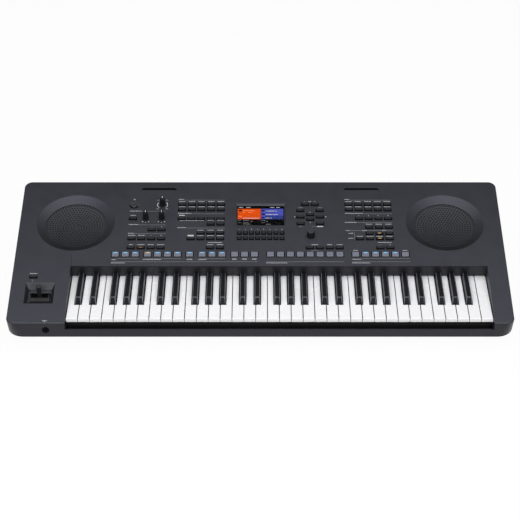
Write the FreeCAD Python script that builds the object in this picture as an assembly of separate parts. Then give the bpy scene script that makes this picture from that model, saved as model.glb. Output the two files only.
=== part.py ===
import FreeCAD, Part
import math
import os

# Arranger keyboard with 61 keys, two speakers and a sloping control panel, in millimetres.
# X points to the player's right, Y to the back and Z up.
# The origin is on the floor under the middle of the case.

# Case
case_width = 1004.0
case_depth = 397.0
case_wall = 3.0
foot_height = 5.0
foot_radius = 11.0
foot_from_side = 70.0
foot_from_front = 72.0
foot_from_back = 34.0
seam_height = 25.0
crease_height = 58.2
panel_angle = 11.0
front_lean = 1.5
corner_front_low = 33.0
corner_front_high = 13.0
corner_back = 16.0
top_edge_radius = 3.0
shoulder_rise = 4.0
sky = 400.0
lower_inset = 0.8
lower_wall = 4.0
floor_inset_side = 8.0
floor_inset_front = 38.0
floor_inset_back = 6.0
tongue_height = 3.0
tongue_clearance = 0.3
tongue_width = 1.4

# Places across the case were taken at this width and follow the case when it changes
plotted_width = 1004.0
across = case_width / plotted_width


def spread(places):
    """Pairs whose first value is a place across the case, fitted to its width."""
    return tuple((x * across, second) for x, second in places)


# Key well in the case
key_block_shift = 38.0 * across
key_well_clearance = 0.9
front_rail_height = 42.0
well_wall = 2.5
well_wall_low = 26.0
fallboard_setback = 151.5
fallboard_lean = 5.0
fallboard_gap = 3.0

# Keys
white_pitch = 23.5 * across
white_count = 36
whites_in_octave = 7
steps_in_octave = 12
key_gap = 1.0
key_top_height = 56.5
key_front_setback = 17.0
white_head = 46.4
white_length = 147.0
key_body_depth = 16.0
key_skin = 2.4
key_side = 1.6
lip_height = 7.6
lip_thickness = 2.0
lip_relief = ((8.0, 10.0), (22.0, 16.0))
key_edge_radius = 0.8
black_front = 49.3
black_back = 138.9
black_rise = 12.5
black_front_slope = 6.5
black_base_width = 12.6 * across
black_top_width = 9.4 * across
black_edge_radius = 1.0
black_body_width = 11.0 * across
black_root = 3.0
black_clearance = 1.2
black_shifts = {"c_sharp": -3.0, "d_sharp": 3.0, "f_sharp": -4.0, "g_sharp": 0.0, "a_sharp": 4.0}
tail_width = 10.0 * across
tail_top = 3.0
tail_behind = 20.0
pivot_setback = 203.0
pivot_drop = 9.5
pivot_radius = 2.0
pivot_clearance = 0.05
rod_seat_clearance = 0.02
key_travel = 2.8
pusher_setback = 106.0
pusher_size = 5.0
pusher_drop = 18.5

# Key chassis under the keys
chassis_height = 20.0
chassis_thickness = 2.5
chassis_front = 8.0
chassis_back = 226.0
chassis_clearance = 1.0
white_guide_setback = 32.0
black_guide_setback = 72.0
guide_depth = 6.0
guide_clearance = 0.5
guide_top = 44.0
white_felt_setback = 18.0
black_felt_setback = 56.0
rest_felt_setback = 214.0
felt_depth = 6.0
felt_height = 3.0
felt_clearance = 0.3
rib_thickness = 1.6
rib_depth = 20.0
rib_tails = (0, 5)
rib_top = 53.0
spring_setback = 186.0
spring_radius = 3.0
spring_bore = 2.2
spring_clearance = 0.3
contact_front = 82.0
contact_back = 134.0
contact_board_thickness = 1.6
contact_strip_depth = 14.0
contact_strip_height = 2.0
dome_size = 6.0
dome_clearance = 0.4
chassis_screw_setbacks = (44.0, 160.0)
chassis_screw_spread = (-400.0 * across, -130.0 * across, 130.0 * across, 400.0 * across)
chassis_boss = 14.0

# Buttons on the panel: places are across from the middle and up the slope from the front crease
button_pitch = 20.3 * across
left_x = -266.0 * across
style_x = -164.2 * across
cursor_x = 104.4 * across
voice_x = 186.1 * across
tab_x = -43.5 * across
tab_pitch = 12.65 * across
row_grey = 186.7
row_low = 205.0
row_third = 231.0
row_function = 247.8
row_part = 245.8
row_transpose = 257.0
row_effect = 264.3
row_song_low = 273.7
row_song = 289.8
row_second = 316.0
row_first = 331.8
row_tab_low = 232.3
row_tab = 247.7
cursor_rows = (332.0, 313.7, 294.6, 301.5, 287.5, 274.9)
grey_runs = spread(((-296.6, 3), (-230.5, 4), (-144.6, 1), (-119.1, 3), (-52.6, 3)))
memory_run = (21.0 * across, 8)
pad_run = (195.5 * across, 6)
dark_size = (16.4 * across, 7.0)
grey_size = (14.0 * across, 12.6)
tab_size = (9.6 * across, 8.6)
hold_size = (16.0 * across, 6.0)
dark_proud = 2.2
grey_proud = 1.8
hold_place = (-458.4 * across, 122.9)
button_edge = 0.6
hole_clearance = 0.4
grey_hole_clearance = 0.7
flange_overlap = 1.0
flange_gap = 0.4
flange_height = 1.2
stub_size = 4.0
stub_height = 0.7
button_travel = 1.0
power_place = (-265.6 * across, 330.8)
power_radius = 8.6
power_proud = 3.0
power_dish = 0.8

# Knobs
volume_place = (-205.8 * across, 331.6)
control_places = spread(((-239.4, 290.9), (-206.1, 290.9)))
dial_place = (104.6 * across, 239.4)
volume_knob = (6.6, 4.7, 20.0)
control_knob = (6.5, 4.6, 19.5)
dial_knob = (8.8, 7.2, 16.0)
knob_gap = 0.8
knob_edge = 0.9
shaft_radius = 3.0
shaft_end = 9.6
shaft_clearance = 0.05
shaft_hole_clearance = 0.6
knob_flutes = 18
flute_radius = 0.7
sensor_size = 13.0
sensor_height = 6.2

# Boards behind the panel
board_depth = 11.0
board_thickness = 1.6
post_size = 6.0
switch_size = 6.0
switch_height = 3.5
switch_stem = 3.0
switch_gap = 0.3
left_board = spread((
    (-316.0, 176.0), (-62.0, 176.0), (-62.0, 345.0), (-290.0, 345.0), (-290.0, 199.0), (-316.0, 199.0),
))
centre_board = spread(((-61.0, 176.0), (71.0, 176.0), (71.0, 258.0), (-61.0, 258.0)))
right_board = spread((
    (72.0, 176.0), (316.0, 176.0), (316.0, 199.0), (290.0, 199.0), (290.0, 345.0), (72.0, 345.0),
))
left_posts = spread(((-312.0, 180.0), (-66.0, 218.0), (-66.0, 340.0), (-286.0, 340.0)))
centre_posts = spread(((-57.0, 212.0), (66.0, 212.0), (-57.0, 253.0), (66.0, 253.0)))
right_posts = spread(((312.0, 180.0), (79.0, 220.0), (79.0, 340.0), (286.0, 340.0)))
hold_board = spread(((-477.0, 114.0), (-440.0, 114.0), (-440.0, 133.0), (-477.0, 133.0)))
hold_posts = spread(((-472.5, 129.0), (-444.5, 118.0)))

# Display
display_centre = (1.0 * across, 302.6)
display_frame = (104.4 * across, 65.4)
display_glass = (97.4 * across, 57.0)
window_margin = 3.0
window_thickness = 1.6
module_thickness = 6.0
screen_rim = 1.5
screen_recess = 0.3

# Speakers
speaker_from_side = 117.3 * across
speaker_up = 279.0
dish_radius = 81.5 * across
dish_floor_radius = 63.8 * across
dish_depth = 9.5
dish_rim = 3.0
grille_ledge_radius = 61.0 * across
grille_ledge_depth = 12.6
dish_under = 14.1
dish_under_radius = 74.0 * across
grille_radius = 63.5 * across
grille_thickness = 1.2
grille_rim = 3.0
grille_sag = 4.0
grille_ring_pitch = 5.2 * across
grille_slot = 2.8 * across
grille_first_ring = 7.0 * across
grille_rings = 10
grille_spokes = 8
grille_spoke_width = 2.6
flange_radius = 73.0 * across
basket_mouth = 57.0 * across
basket_ledge = 52.0 * across
basket_ledge_drop = 2.9
basket_back_radius = 30.0 * across
basket_depth = 26.0
basket_skin = 2.0
basket_hole = 12.0
cone_skin = 1.2
cone_rim_clearance = 0.3
cone_throat = 15.0 * across
cone_depth = 17.5
cap_rise = 4.5
magnet_radius = 35.0 * across
magnet_height = 15.0
speaker_screws = 4
speaker_screw_radius = 69.0 * across
speaker_screw_turn = 45.0
speaker_screw_length = 4.8
speaker_thread_depth = 3.0

# Music rest slots
slot_spread = 215.1 * across
slot_up = 379.6
slot_front_length = 77.6 * across
slot_back_length = 67.6 * across
slot_width = 6.0
slot_depth = 22.0
slot_wall = 2.0

# Joystick
joystick_place = (-442.4 * across, 79.7)
well_mouth = (58.8 * across, 56.4)
well_throat = (46.0 * across, 34.0)
well_depth = 9.0
well_skin = 2.0
barrel_radius = 14.0
barrel_length = 40.0 * across
barrel_drop = 21.0
barrel_slot = 10.0
yoke_pin_radius = 3.0
yoke_pin_length = 5.5
lever_radius = 4.4
lever_top = 21.0
lever_pin_radius = 2.0
lever_pin_reach = 13.0
lever_edge = 1.6
frame_cheek = 3.0
frame_gap = 1.0
frame_drop = 17.0
frame_depth = 30.0
frame_post = 7.0

# Sockets
phones_place = (-423.7 * across, 41.4)
phones_face_radius = 6.9
phones_hole_depth = 10.0
socket_bore = 3.2
socket_body = (15.0, 15.0, 30.0)
socket_nose = 5.6
socket_nose_length = 1.6
plate_x = (-345.0 * across, -75.0 * across)
plate_z = (31.0, 65.0)
plate_thickness = 2.0
plate_margin = 6.0
nose_clearance = 0.2
jack_line = 48.0
jack_columns = (-325.0 * across, -297.0 * across, -230.0 * across, -202.0 * across)
aux_column = -262.0 * across
aux_bore = 1.8
aux_nose = 3.6
inlet_column = -95.0 * across
inlet_bore = 2.8
inlet_pin = 1.0
usb_column = -165.0 * across
usb_face = (12.0, 10.8)
usb_mouth = (8.6, 7.8)
drive_column = -132.0 * across
drive_face = (15.0, 8.0)
drive_mouth = (12.6, 5.2)
socket_depth = 18.0

# Screws, boards and wiring inside
post_from_side = 21.0
side_post = case_width / 2.0 - post_from_side
case_posts = (
    (-side_post, -150.0), (side_post, -150.0), (-side_post, 10.0), (side_post, 10.0),
    (-side_post, 175.0), (side_post, 175.0), (-20.0 * across, 182.0), (265.0 * across, 182.0),
)
post_radius = 4.5
screw_boss_radius = 6.0
screw_boss_top = 12.0
screw_head_radius = 3.6
screw_head_height = 2.2
screw_recess_radius = 4.2
screw_recess = 3.5
screw_radius = 1.5
screw_hole_clearance = 0.4
thread_clearance = 0.05
screw_length = 14.0
small_head_radius = 2.8
small_head_height = 1.6
small_screw_radius = 1.2
small_screw_length = 6.0
main_board = spread(((-150.0, 70.0), (150.0, 162.0)))
amp_board = spread(((185.0, 70.0), (290.0, 150.0)))
main_board_height = 20.0
board_boss = 8.0
board_corner = 6.0
chip_blocks = (
    (-90.0 * across, 112.0, 30.0, 30.0, 3.0), (-30.0 * across, 125.0, 22.0, 14.0, 2.0),
    (60.0 * across, 105.0, 18.0, 24.0, 2.0),
)
heat_sink = (237.0 * across, 112.0, 60.0 * across, 24.0, 22.0)
ribbon_thickness = 0.8
ribbon_width = 20.0
ribbon_places = spread(((-120.0, 84.0), (118.0, 84.0)))
display_ribbon = (0.0, 118.0)
lead_width = 5.0
lead_y = 92.0

vector = FreeCAD.Vector
os.makedirs("parts", exist_ok=True)

# Lines and levels worked out from the sizes above
half_width = case_width / 2.0
front_y = -case_depth / 2.0
back_y = case_depth / 2.0
crease_y = front_y + front_lean
slope = math.radians(panel_angle)
panel_frame = FreeCAD.Placement(
    vector(0.0, crease_y, crease_height), FreeCAD.Rotation(vector(1, 0, 0), panel_angle)
)
key_front_y = front_y + key_front_setback
key_block = white_pitch * white_count
key_left = key_block_shift - key_block / 2.0
octave = white_pitch * whites_in_octave
tail_pitch = octave / steps_in_octave
well_left = key_left - key_well_clearance
well_right = key_left + key_block + key_well_clearance
fallboard_y = crease_y + fallboard_setback
floor_top = foot_height + case_wall
plate_top = chassis_height + chassis_thickness
pivot_y = key_front_y + pivot_setback
pivot_z = key_top_height - pivot_drop
key_bottom = key_top_height - key_body_depth
press = math.radians(key_travel)


def drop_at(setback):
    """How far a key sinks at a distance behind its front when it is fully pressed."""
    return (pivot_setback - setback) * math.sin(press)


def block(x0, x1, y0, y1, z0, z1):
    """A box between two corners."""
    return Part.makeBox(x1 - x0, y1 - y0, z1 - z0, vector(x0, y0, z0))


def plate(points, low, high):
    """A flat polygon in X and Y, raised from low to high."""
    corners = [vector(x, y, low) for x, y in points]
    face = Part.Face(Part.makePolygon(corners + corners[:1]))
    return face.extrude(vector(0.0, 0.0, high - low))


def section(points, x0, x1):
    """A polygon in Y and Z, carried along X from x0 to x1."""
    corners = [vector(x0, y, z) for y, z in points]
    face = Part.Face(Part.makePolygon(corners + corners[:1]))
    return face.extrude(vector(x1 - x0, 0.0, 0.0))


def turned(points):
    """A polygon of radius and height, turned about the Z axis."""
    corners = [vector(r, 0.0, z) for r, z in points]
    face = Part.Face(Part.makePolygon(corners + corners[:1]))
    return face.revolve(vector(0, 0, 0), vector(0, 0, 1), 360.0)


def peg(radius, x, y, z0, z1):
    """An upright cylinder."""
    return Part.makeCylinder(radius, z1 - z0, vector(x, y, z0))


def bar(radius, x0, x1, y, z):
    """A cylinder along X."""
    return Part.makeCylinder(radius, x1 - x0, vector(x0, y, z), vector(1, 0, 0))


def spike(radius, x, z, y0, y1):
    """A cylinder along Y."""
    return Part.makeCylinder(radius, y1 - y0, vector(x, y0, z), vector(0, 1, 0))


def frustum(low_size, low, high_size, high):
    """A four-sided funnel between two centred rectangles."""
    wires = []
    for size, z in ((low_size, low), (high_size, high)):
        a = size[0] / 2.0
        b = size[1] / 2.0
        corners = [vector(-a, -b, z), vector(a, -b, z), vector(a, b, z), vector(-a, b, z)]
        wires.append(Part.makePolygon(corners + corners[:1]))
    return Part.makeLoft(wires, True, True)


def moved(shape, x=0.0, y=0.0, z=0.0):
    """A copy carried to another place."""
    copy = shape.copy()
    copy.translate(vector(x, y, z))
    return copy


def on_panel(shape):
    """Carry a shape from panel coordinates (across, up the slope, outward) to its place."""
    copy = shape.copy()
    copy.Placement = panel_frame.multiply(copy.Placement)
    return copy


def fused(shapes):
    """One solid from several that overlap or touch."""
    whole = shapes[0].fuse(shapes[1:])
    return whole.removeSplitter()


def soften(shape, radius, chosen):
    """Round the edges that a test picks."""
    return shape.makeFillet(radius, [edge for edge in shape.Edges if chosen(edge)])


def save(name, solids):
    """Write one named node."""
    Part.makeCompound(solids).exportStep("parts/" + name + ".step")


def rounded_outline(half, y0, y1, r_front, r_back, z):
    """A rectangle with rounded corners, drawn anticlockwise from the front left."""
    bend = 1.0 - math.sqrt(0.5)
    corners = []
    for side_x, side_y, radius in ((-1, -1, r_front), (1, -1, r_front), (1, 1, r_back), (-1, 1, r_back)):
        x = side_x * half
        y = y0 if side_y < 0 else y1
        along = vector(x - side_x * radius, y, z)
        beside = vector(x, y - side_y * radius, z)
        middle = vector(x - side_x * radius * bend, y - side_y * radius * bend, z)
        corners.append((beside, middle, along) if side_x * side_y > 0 else (along, middle, beside))
    edges = []
    for index, (start, middle, end) in enumerate(corners):
        edges.append(Part.Arc(start, middle, end).toShape())
        edges.append(Part.makeLine(end, corners[(index + 1) % 4][0]))
    return Part.Wire(edges)


def case_body(inset, low):
    """The case's outside, or its hollow when inset, up to the panel."""
    high = crease_height + shoulder_rise
    half = half_width - inset
    y1 = back_y - inset
    wires = [
        rounded_outline(half, front_y + inset, y1, corner_front_low - inset, corner_back - inset, low),
        rounded_outline(half, crease_y + inset, y1, corner_front_high - inset, corner_back - inset, high),
        rounded_outline(half, crease_y + inset, y1, corner_front_high - inset, corner_back - inset, sky),
    ]
    body = Part.makeLoft(wires, True, True)
    above = block(-case_width, case_width, -case_depth, 2.0 * case_depth, -inset, 2.0 * sky)
    return body.cut(on_panel(above))


def run(x, count, s, pitch=button_pitch):
    """Places in a row."""
    return [(x + index * pitch, s) for index in range(count)]


# Where every button is
tempo_places = [(left_x, row_song)]
tempo_places += run(left_x + 2 * button_pitch, 2, row_transpose)
tempo_places += run(left_x, 4, row_third)
tempo_places += run(left_x, 4, row_low)
style_places = run(style_x, 5, row_first) + run(style_x, 5, row_second)
song_places = run(style_x, 5, row_song) + run(style_x + 3 * button_pitch, 2, row_song_low)
function_places = run(style_x + 2 * button_pitch, 3, row_function)
function_places += run(style_x + button_pitch, 4, row_third)
function_places += run(style_x + 3 * button_pitch, 2, row_low)
tab_places = run(tab_x, 8, row_tab, tab_pitch) + run(tab_x, 8, row_tab_low, tab_pitch)
cursor_left = cursor_x - button_pitch
cursor_places = run(cursor_x - button_pitch / 2.0, 2, cursor_rows[0])
cursor_places += run(cursor_left, 2, cursor_rows[1], 2 * button_pitch)
cursor_places += run(cursor_left, 2, cursor_rows[2], 2 * button_pitch)
cursor_places += [(cursor_x, cursor_rows[3]), (cursor_x, cursor_rows[4])]
cursor_places += run(cursor_left, 2, cursor_rows[5], 2 * button_pitch)
memory_places = run(memory_run[0], memory_run[1], row_grey)
bank_places = run(memory_run[0] + 4 * button_pitch, 4, row_low)
voice_places = run(voice_x, 5, row_first) + run(voice_x, 5, row_second)
part_places = run(voice_x + button_pitch, 4, row_song)
part_places += run(voice_x + 2 * button_pitch, 3, row_effect)
part_places += run(voice_x + 2 * button_pitch, 3, row_part)
part_places += run(voice_x + button_pitch, 4, row_third)
part_places += run(voice_x + 3 * button_pitch, 2, row_low)
control_button_places = [place for x, count in grey_runs for place in run(x, count, row_grey)]
pad_places = run(pad_run[0], pad_run[1], row_grey)
button_groups = {
    "tempo_buttons": (tempo_places, dark_size, dark_proud),
    "style_buttons": (style_places, dark_size, dark_proud),
    "song_buttons": (song_places, dark_size, dark_proud),
    "function_buttons": (function_places, dark_size, dark_proud),
    "tab_buttons": (tab_places, tab_size, dark_proud),
    "cursor_buttons": (cursor_places, dark_size, dark_proud),
    "memory_bank_buttons": (bank_places, dark_size, dark_proud),
    "voice_buttons": (voice_places, dark_size, dark_proud),
    "part_buttons": (part_places, dark_size, dark_proud),
    "style_control_buttons": (control_button_places, grey_size, grey_proud),
    "memory_buttons": (memory_places, grey_size, grey_proud),
    "pad_buttons": (pad_places, grey_size, grey_proud),
    "joystick_hold_button": ([hold_place], hold_size, dark_proud),
}
speaker_x = half_width - speaker_from_side
speaker_places = ((-speaker_x, speaker_up), (speaker_x, speaker_up))
knob_places = ((volume_place, volume_knob), (control_places[0], control_knob))
knob_places += ((control_places[1], control_knob), (dial_place, dial_knob))


# Buttons: a cap through the panel, a flange that holds it in, and a stub above its switch
def button(size, proud):
    """One button about its own middle, in panel coordinates."""
    a = size[0] / 2.0
    b = size[1] / 2.0
    flange_top = -case_wall - flange_gap
    cap = block(-a, a, -b, b, flange_top, proud)
    cap = soften(cap, button_edge, lambda edge: min(v.Z for v in edge.Vertexes) > proud - button_edge)
    flange = block(
        -a - flange_overlap, a + flange_overlap, -b - flange_overlap, b + flange_overlap,
        flange_top - flange_height, flange_top,
    )
    c = stub_size / 2.0
    stub = block(-c, c, -c, c, flange_top - flange_height - stub_height, flange_top - flange_height)
    return fused([cap, flange, stub])


for name, (places, size, proud) in button_groups.items():
    master = button(size, proud)
    save(name, [on_panel(moved(master, x, s)) for x, s in places])

flange_under = case_wall + flange_gap + flange_height
power = turned((
    (0.0, -flange_under - stub_height), (stub_size / 2.0, -flange_under - stub_height),
    (stub_size / 2.0, -flange_under), (power_radius + flange_overlap, -flange_under),
    (power_radius + flange_overlap, -case_wall - flange_gap), (power_radius, -case_wall - flange_gap),
    (power_radius, power_proud - button_edge), (power_radius - button_edge, power_proud),
    (power_radius - 2.0 * button_edge, power_proud), (0.0, power_proud - power_dish),
))
save("power_button", [on_panel(moved(power, power_place[0], power_place[1]))])


# Knobs: a fluted cap above the panel on a shaft that turns in its sensor
def knob(sizes):
    """One knob about its own middle, in panel coordinates."""
    low, high, height = sizes
    cap = turned((
        (0.0, knob_gap), (low, knob_gap), (high, height - knob_edge),
        (high - knob_edge, height), (0.0, height),
    ))
    flutes = []
    for index in range(knob_flutes):
        angle = math.radians(360.0 * index / knob_flutes)
        lean = vector(math.cos(angle) * (high - low), math.sin(angle) * (high - low), height)
        out = low + flute_radius / 3.0
        foot = vector(math.cos(angle) * out, math.sin(angle) * out, 0.0)
        flutes.append(Part.makeCylinder(flute_radius, 2.0 * height, foot, lean))
    cap = cap.cut(flutes)
    shaft = peg(shaft_radius, 0.0, 0.0, -shaft_end, knob_gap)
    return fused([cap, shaft])


volume_cap = knob(volume_knob)
control_cap = knob(control_knob)
dial_cap = knob(dial_knob)
save("volume_knob", [on_panel(moved(volume_cap, volume_place[0], volume_place[1]))])
save("control_knob_1", [on_panel(moved(control_cap, control_places[0][0], control_places[0][1]))])
save("control_knob_2", [on_panel(moved(control_cap, control_places[1][0], control_places[1][1]))])
save("data_dial", [on_panel(moved(dial_cap, dial_place[0], dial_place[1]))])

# Sensors that the knobs turn, soldered to the panel boards
half_sensor = sensor_size / 2.0
sensor_top = -board_depth + sensor_height
sensor = block(-half_sensor, half_sensor, -half_sensor, half_sensor, -board_depth, sensor_top)
sensor = sensor.cut(peg(shaft_radius + shaft_clearance, 0.0, 0.0, -shaft_end - shaft_hole_clearance, 0.0))
save("rotary_sensors", [on_panel(moved(sensor, place[0], place[1])) for place, sizes in knob_places])

# Switches under the buttons
switch_half = switch_size / 2.0
stem_half = switch_stem / 2.0
stub_end = flange_under + stub_height
stem_top = -stub_end - button_travel - switch_gap
switch_top = -board_depth + switch_height
switch = fused([
    block(-switch_half, switch_half, -switch_half, switch_half, -board_depth, switch_top),
    block(-stem_half, stem_half, -stem_half, stem_half, -board_depth, stem_top),
])
switch_places = [place for places, size, proud in button_groups.values() for place in places]
switch_places.append(power_place)
save("button_switches", [on_panel(moved(switch, x, s)) for x, s in switch_places])

# Panel boards on posts
boards = []
for outline, posts in (
    (left_board, left_posts), (centre_board, centre_posts),
    (right_board, right_posts), (hold_board, hold_posts),
):
    board = plate(outline, -board_depth - board_thickness, -board_depth)
    holes = []
    for x, s in posts:
        holes.append(peg(small_screw_radius + screw_hole_clearance, x, s, -2.0 * board_depth, 0.0))
    boards.append(on_panel(board.cut(holes)))
save("panel_boards", boards)


# Display window behind the panel, with the display module behind it
def pane(margin, low, high):
    """A flat block behind the display's opening, larger than it by a margin on every side."""
    a = display_glass[0] / 2.0 + margin
    b = display_glass[1] / 2.0 + margin
    return moved(block(-a, a, -b, b, low, high), display_centre[0], display_centre[1])


window_back = -case_wall - window_thickness
module = pane(screen_rim, window_back - module_thickness, window_back)
module = module.cut(pane(0.0, window_back - screen_recess, window_back))
save("display_window", [on_panel(pane(window_margin, window_back, -case_wall))])
save("display_module", [on_panel(module)])

# Speakers: a dished grille in the case, and a driver on screws behind it
grille_top = -grille_ledge_depth + grille_thickness
grille_bend = grille_radius - grille_rim
web = grille_ring_pitch - grille_slot
bowl_radii = [
    grille_first_ring + index * grille_ring_pitch - web / 2.0 for index in range(0, grille_rings, 2)
]
bowl = [(0.0, grille_top - grille_sag)]
for radius in bowl_radii:
    bowl.append((radius, grille_top - grille_sag * (1.0 - (radius / grille_bend) ** 2)))
bowl += [(grille_bend, grille_top), (grille_radius, grille_top)]
grille = turned(bowl + [(radius, height - grille_thickness) for radius, height in reversed(bowl)])
slots = []
for ring in range(grille_rings):
    inner = grille_first_ring + ring * grille_ring_pitch
    spoke_angle = 2.0 * math.degrees(math.asin(grille_spoke_width / (2.0 * inner + grille_slot)))
    sector = 360.0 / grille_spokes - spoke_angle
    core = peg(inner, 0.0, 0.0, -3.0 * dish_under, 0.0)
    wedge = Part.makeCylinder(
        inner + grille_slot, 3.0 * dish_under, vector(0.0, 0.0, -3.0 * dish_under), vector(0, 0, 1), sector
    )
    wedge = wedge.cut(core)
    for spoke in range(grille_spokes):
        turn = 360.0 * spoke / grille_spokes + spoke_angle / 2.0
        slot = wedge.copy()
        slot.rotate(vector(0, 0, 0), vector(0, 0, 1), turn)
        slots.append(slot)
grille = grille.cut(Part.makeCompound(slots))
save("speaker_grilles", [on_panel(moved(grille, x, s)) for x, s in speaker_places])

basket_top = -dish_under
ledge = basket_top - basket_ledge_drop
back = basket_top - basket_depth
basket = turned((
    (flange_radius, basket_top), (basket_mouth, basket_top), (basket_mouth, ledge), (basket_ledge, ledge),
    (basket_back_radius, back), (basket_hole, back), (basket_hole, back - basket_skin),
    (basket_back_radius + basket_skin, back - basket_skin),
    (basket_mouth + basket_skin, ledge - basket_skin),
    (basket_mouth + basket_skin, basket_top - basket_skin), (flange_radius, basket_top - basket_skin),
))
speaker_holes = []
for index in range(speaker_screws):
    angle = math.radians(speaker_screw_turn + 360.0 * index / speaker_screws)
    speaker_holes.append((speaker_screw_radius * math.cos(angle), speaker_screw_radius * math.sin(angle)))
basket = basket.cut([
    peg(small_screw_radius + screw_hole_clearance, x, s, -3.0 * dish_under, 0.0) for x, s in speaker_holes
])
save("speaker_baskets", [on_panel(moved(basket, x, s)) for x, s in speaker_places])

cone_rim = basket_mouth - cone_rim_clearance
cone_edge = basket_ledge - 2.0 * cone_skin
throat = ledge - cone_depth
cone = turned((
    (cone_rim, ledge), (cone_rim, ledge + cone_skin), (cone_edge, ledge + cone_skin),
    (cone_throat, throat + cone_skin),
    (cone_throat / 2.0, throat + cap_rise), (0.0, throat + cap_rise + cone_skin), (0.0, throat + cap_rise),
    (cone_throat / 2.0, throat + cap_rise - cone_skin), (cone_throat, throat), (cone_edge, ledge),
))
save("speaker_cones", [on_panel(moved(cone, x, s)) for x, s in speaker_places])

magnet_top = back - basket_skin
magnet = turned((
    (basket_hole, magnet_top), (magnet_radius, magnet_top), (magnet_radius, magnet_top - magnet_height),
    (0.0, magnet_top - magnet_height), (0.0, magnet_top - basket_skin),
    (basket_hole, magnet_top - basket_skin),
))
save("speaker_magnets", [on_panel(moved(magnet, x, s)) for x, s in speaker_places])

# Upper case: a shell with the key well, the speaker dishes, the wells and every hole in the panel
outside = case_body(0.0, seam_height)
panel_normal = vector(0.0, -math.sin(slope), math.cos(slope))
panel_point = vector(0.0, crease_y, crease_height)


def on_top(edge):
    """True for an edge that lies in the panel's plane."""
    return all(abs((vertex.Point - panel_point).dot(panel_normal)) < key_side for vertex in edge.Vertexes)


outside = soften(outside, top_edge_radius, on_top)
hollow = case_body(case_wall, seam_height - case_wall)
shell = outside.cut(hollow)
shell = shell.cut(block(well_left, well_right, -case_depth, fallboard_y, front_rail_height, sky))
fallboard_top_z = crease_height + fallboard_setback * math.tan(slope)
fallboard_low_z = key_top_height + fallboard_gap
fallboard = section((
    (fallboard_y, fallboard_top_z), (fallboard_y + fallboard_lean, fallboard_low_z),
    (fallboard_y + fallboard_lean + well_wall, fallboard_low_z),
    (fallboard_y + 2.0 * well_wall, fallboard_top_z + well_wall),
    (fallboard_y, fallboard_top_z + well_wall),
), well_left - well_wall, well_right + well_wall)
additions = [fallboard.common(outside)]
for x0 in (well_left - well_wall, well_right):
    cheek = block(x0, x0 + well_wall, front_y, fallboard_y + fallboard_lean + well_wall, well_wall_low, sky)
    additions.append(cheek.common(outside))
dish = turned((
    (dish_radius, 0.0), (dish_radius + dish_rim, 0.0), (dish_radius + dish_rim, -case_wall),
    (dish_under_radius, -dish_under), (grille_ledge_radius, -dish_under),
    (grille_ledge_radius, -grille_ledge_depth), (dish_floor_radius, -grille_ledge_depth),
    (dish_floor_radius, -dish_depth),
))
dish = dish.cut([
    peg(small_screw_radius + thread_clearance, x, s, -2.0 * dish_under, -dish_under + speaker_thread_depth)
    for x, s in speaker_holes
])
panel_cuts = []
for x, s in speaker_places:
    panel_cuts.append(on_panel(peg(dish_radius + dish_rim / 2.0, x, s, -dish_under, dish_under)))
    additions.append(on_panel(moved(dish, x, s)))
outer_mouth = (well_mouth[0] + 2.0 * well_skin, well_mouth[1] + 2.0 * well_skin)
outer_throat = (well_throat[0] + 2.0 * well_skin, well_throat[1] + 2.0 * well_skin)
funnel_hollow = frustum(well_throat, -well_depth, well_mouth, 0.0)
funnel = frustum(outer_throat, -well_depth, outer_mouth, 0.0).cut(funnel_hollow)
panel_cuts.append(on_panel(moved(funnel_hollow, *joystick_place)))
additions.append(on_panel(moved(funnel, *joystick_place)))
panel_cuts.append(on_panel(moved(frustum(display_glass, -case_wall, display_frame, 0.0), *display_centre)))
for name, (places, size, proud) in button_groups.items():
    gap = grey_hole_clearance if size == grey_size else hole_clearance
    a = size[0] / 2.0 + gap
    b = size[1] / 2.0 + gap
    for x, s in places:
        panel_cuts.append(on_panel(block(x - a, x + a, s - b, s + b, -2.0 * case_wall, case_wall)))
panel_cuts.append(on_panel(peg(
    power_radius + hole_clearance, power_place[0], power_place[1], -2.0 * case_wall, case_wall
)))
for place, sizes in knob_places:
    panel_cuts.append(on_panel(peg(
        shaft_radius + shaft_hole_clearance, place[0], place[1], -2.0 * case_wall, case_wall
    )))


def slot_outline(grow):
    """The music rest slot's outline about its own middle, narrower at the back."""
    a = slot_front_length / 2.0 + grow
    b = slot_back_length / 2.0 + grow
    c = slot_width / 2.0 + grow
    return ((-a, -c), (a, -c), (b, c), (-b, c))


slot_y = crease_y + slot_up * math.cos(slope)
slot_z = crease_height + slot_up * math.sin(slope)
for side in (-1, 1):
    pocket = plate(slot_outline(slot_wall), -slot_depth - slot_wall, 2.0 * slot_wall)
    additions.append(moved(pocket, side * slot_spread, slot_y, slot_z).common(outside))
for boards_posts in (left_posts, centre_posts, right_posts, hold_posts):
    for x, s in boards_posts:
        c = post_size / 2.0
        post = block(x - c, x + c, s - c, s + c, -board_depth, -case_wall)
        bore = peg(small_screw_radius + thread_clearance, x, s, -2.0 * board_depth, window_back)
        additions.append(on_panel(post.cut(bore)))
for x, y in case_posts:
    stub = peg(post_radius, x, y, 0.0, seam_height)
    additions.append(peg(post_radius, x, y, screw_boss_top, sky).common(outside.fuse(stub)))
frame_half = barrel_length / 2.0 + yoke_pin_length + frame_gap
frame_posts = []
for side in (-1, 1):
    x = joystick_place[0] + side * (frame_half - frame_post / 2.0)
    frame_posts.append((x, joystick_place[1] + frame_depth))
    frame_posts.append((x, joystick_place[1] - frame_depth))
for x, s in frame_posts:
    c = frame_post / 2.0
    post = block(x - c, x + c, s - c, s + c, -frame_drop, -case_wall)
    bore_top = -frame_drop + small_screw_length
    bore = peg(small_screw_radius + thread_clearance, x, s, -2.0 * frame_drop, bore_top)
    additions.append(on_panel(post.cut(bore)))
case_cuts = []
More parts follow.
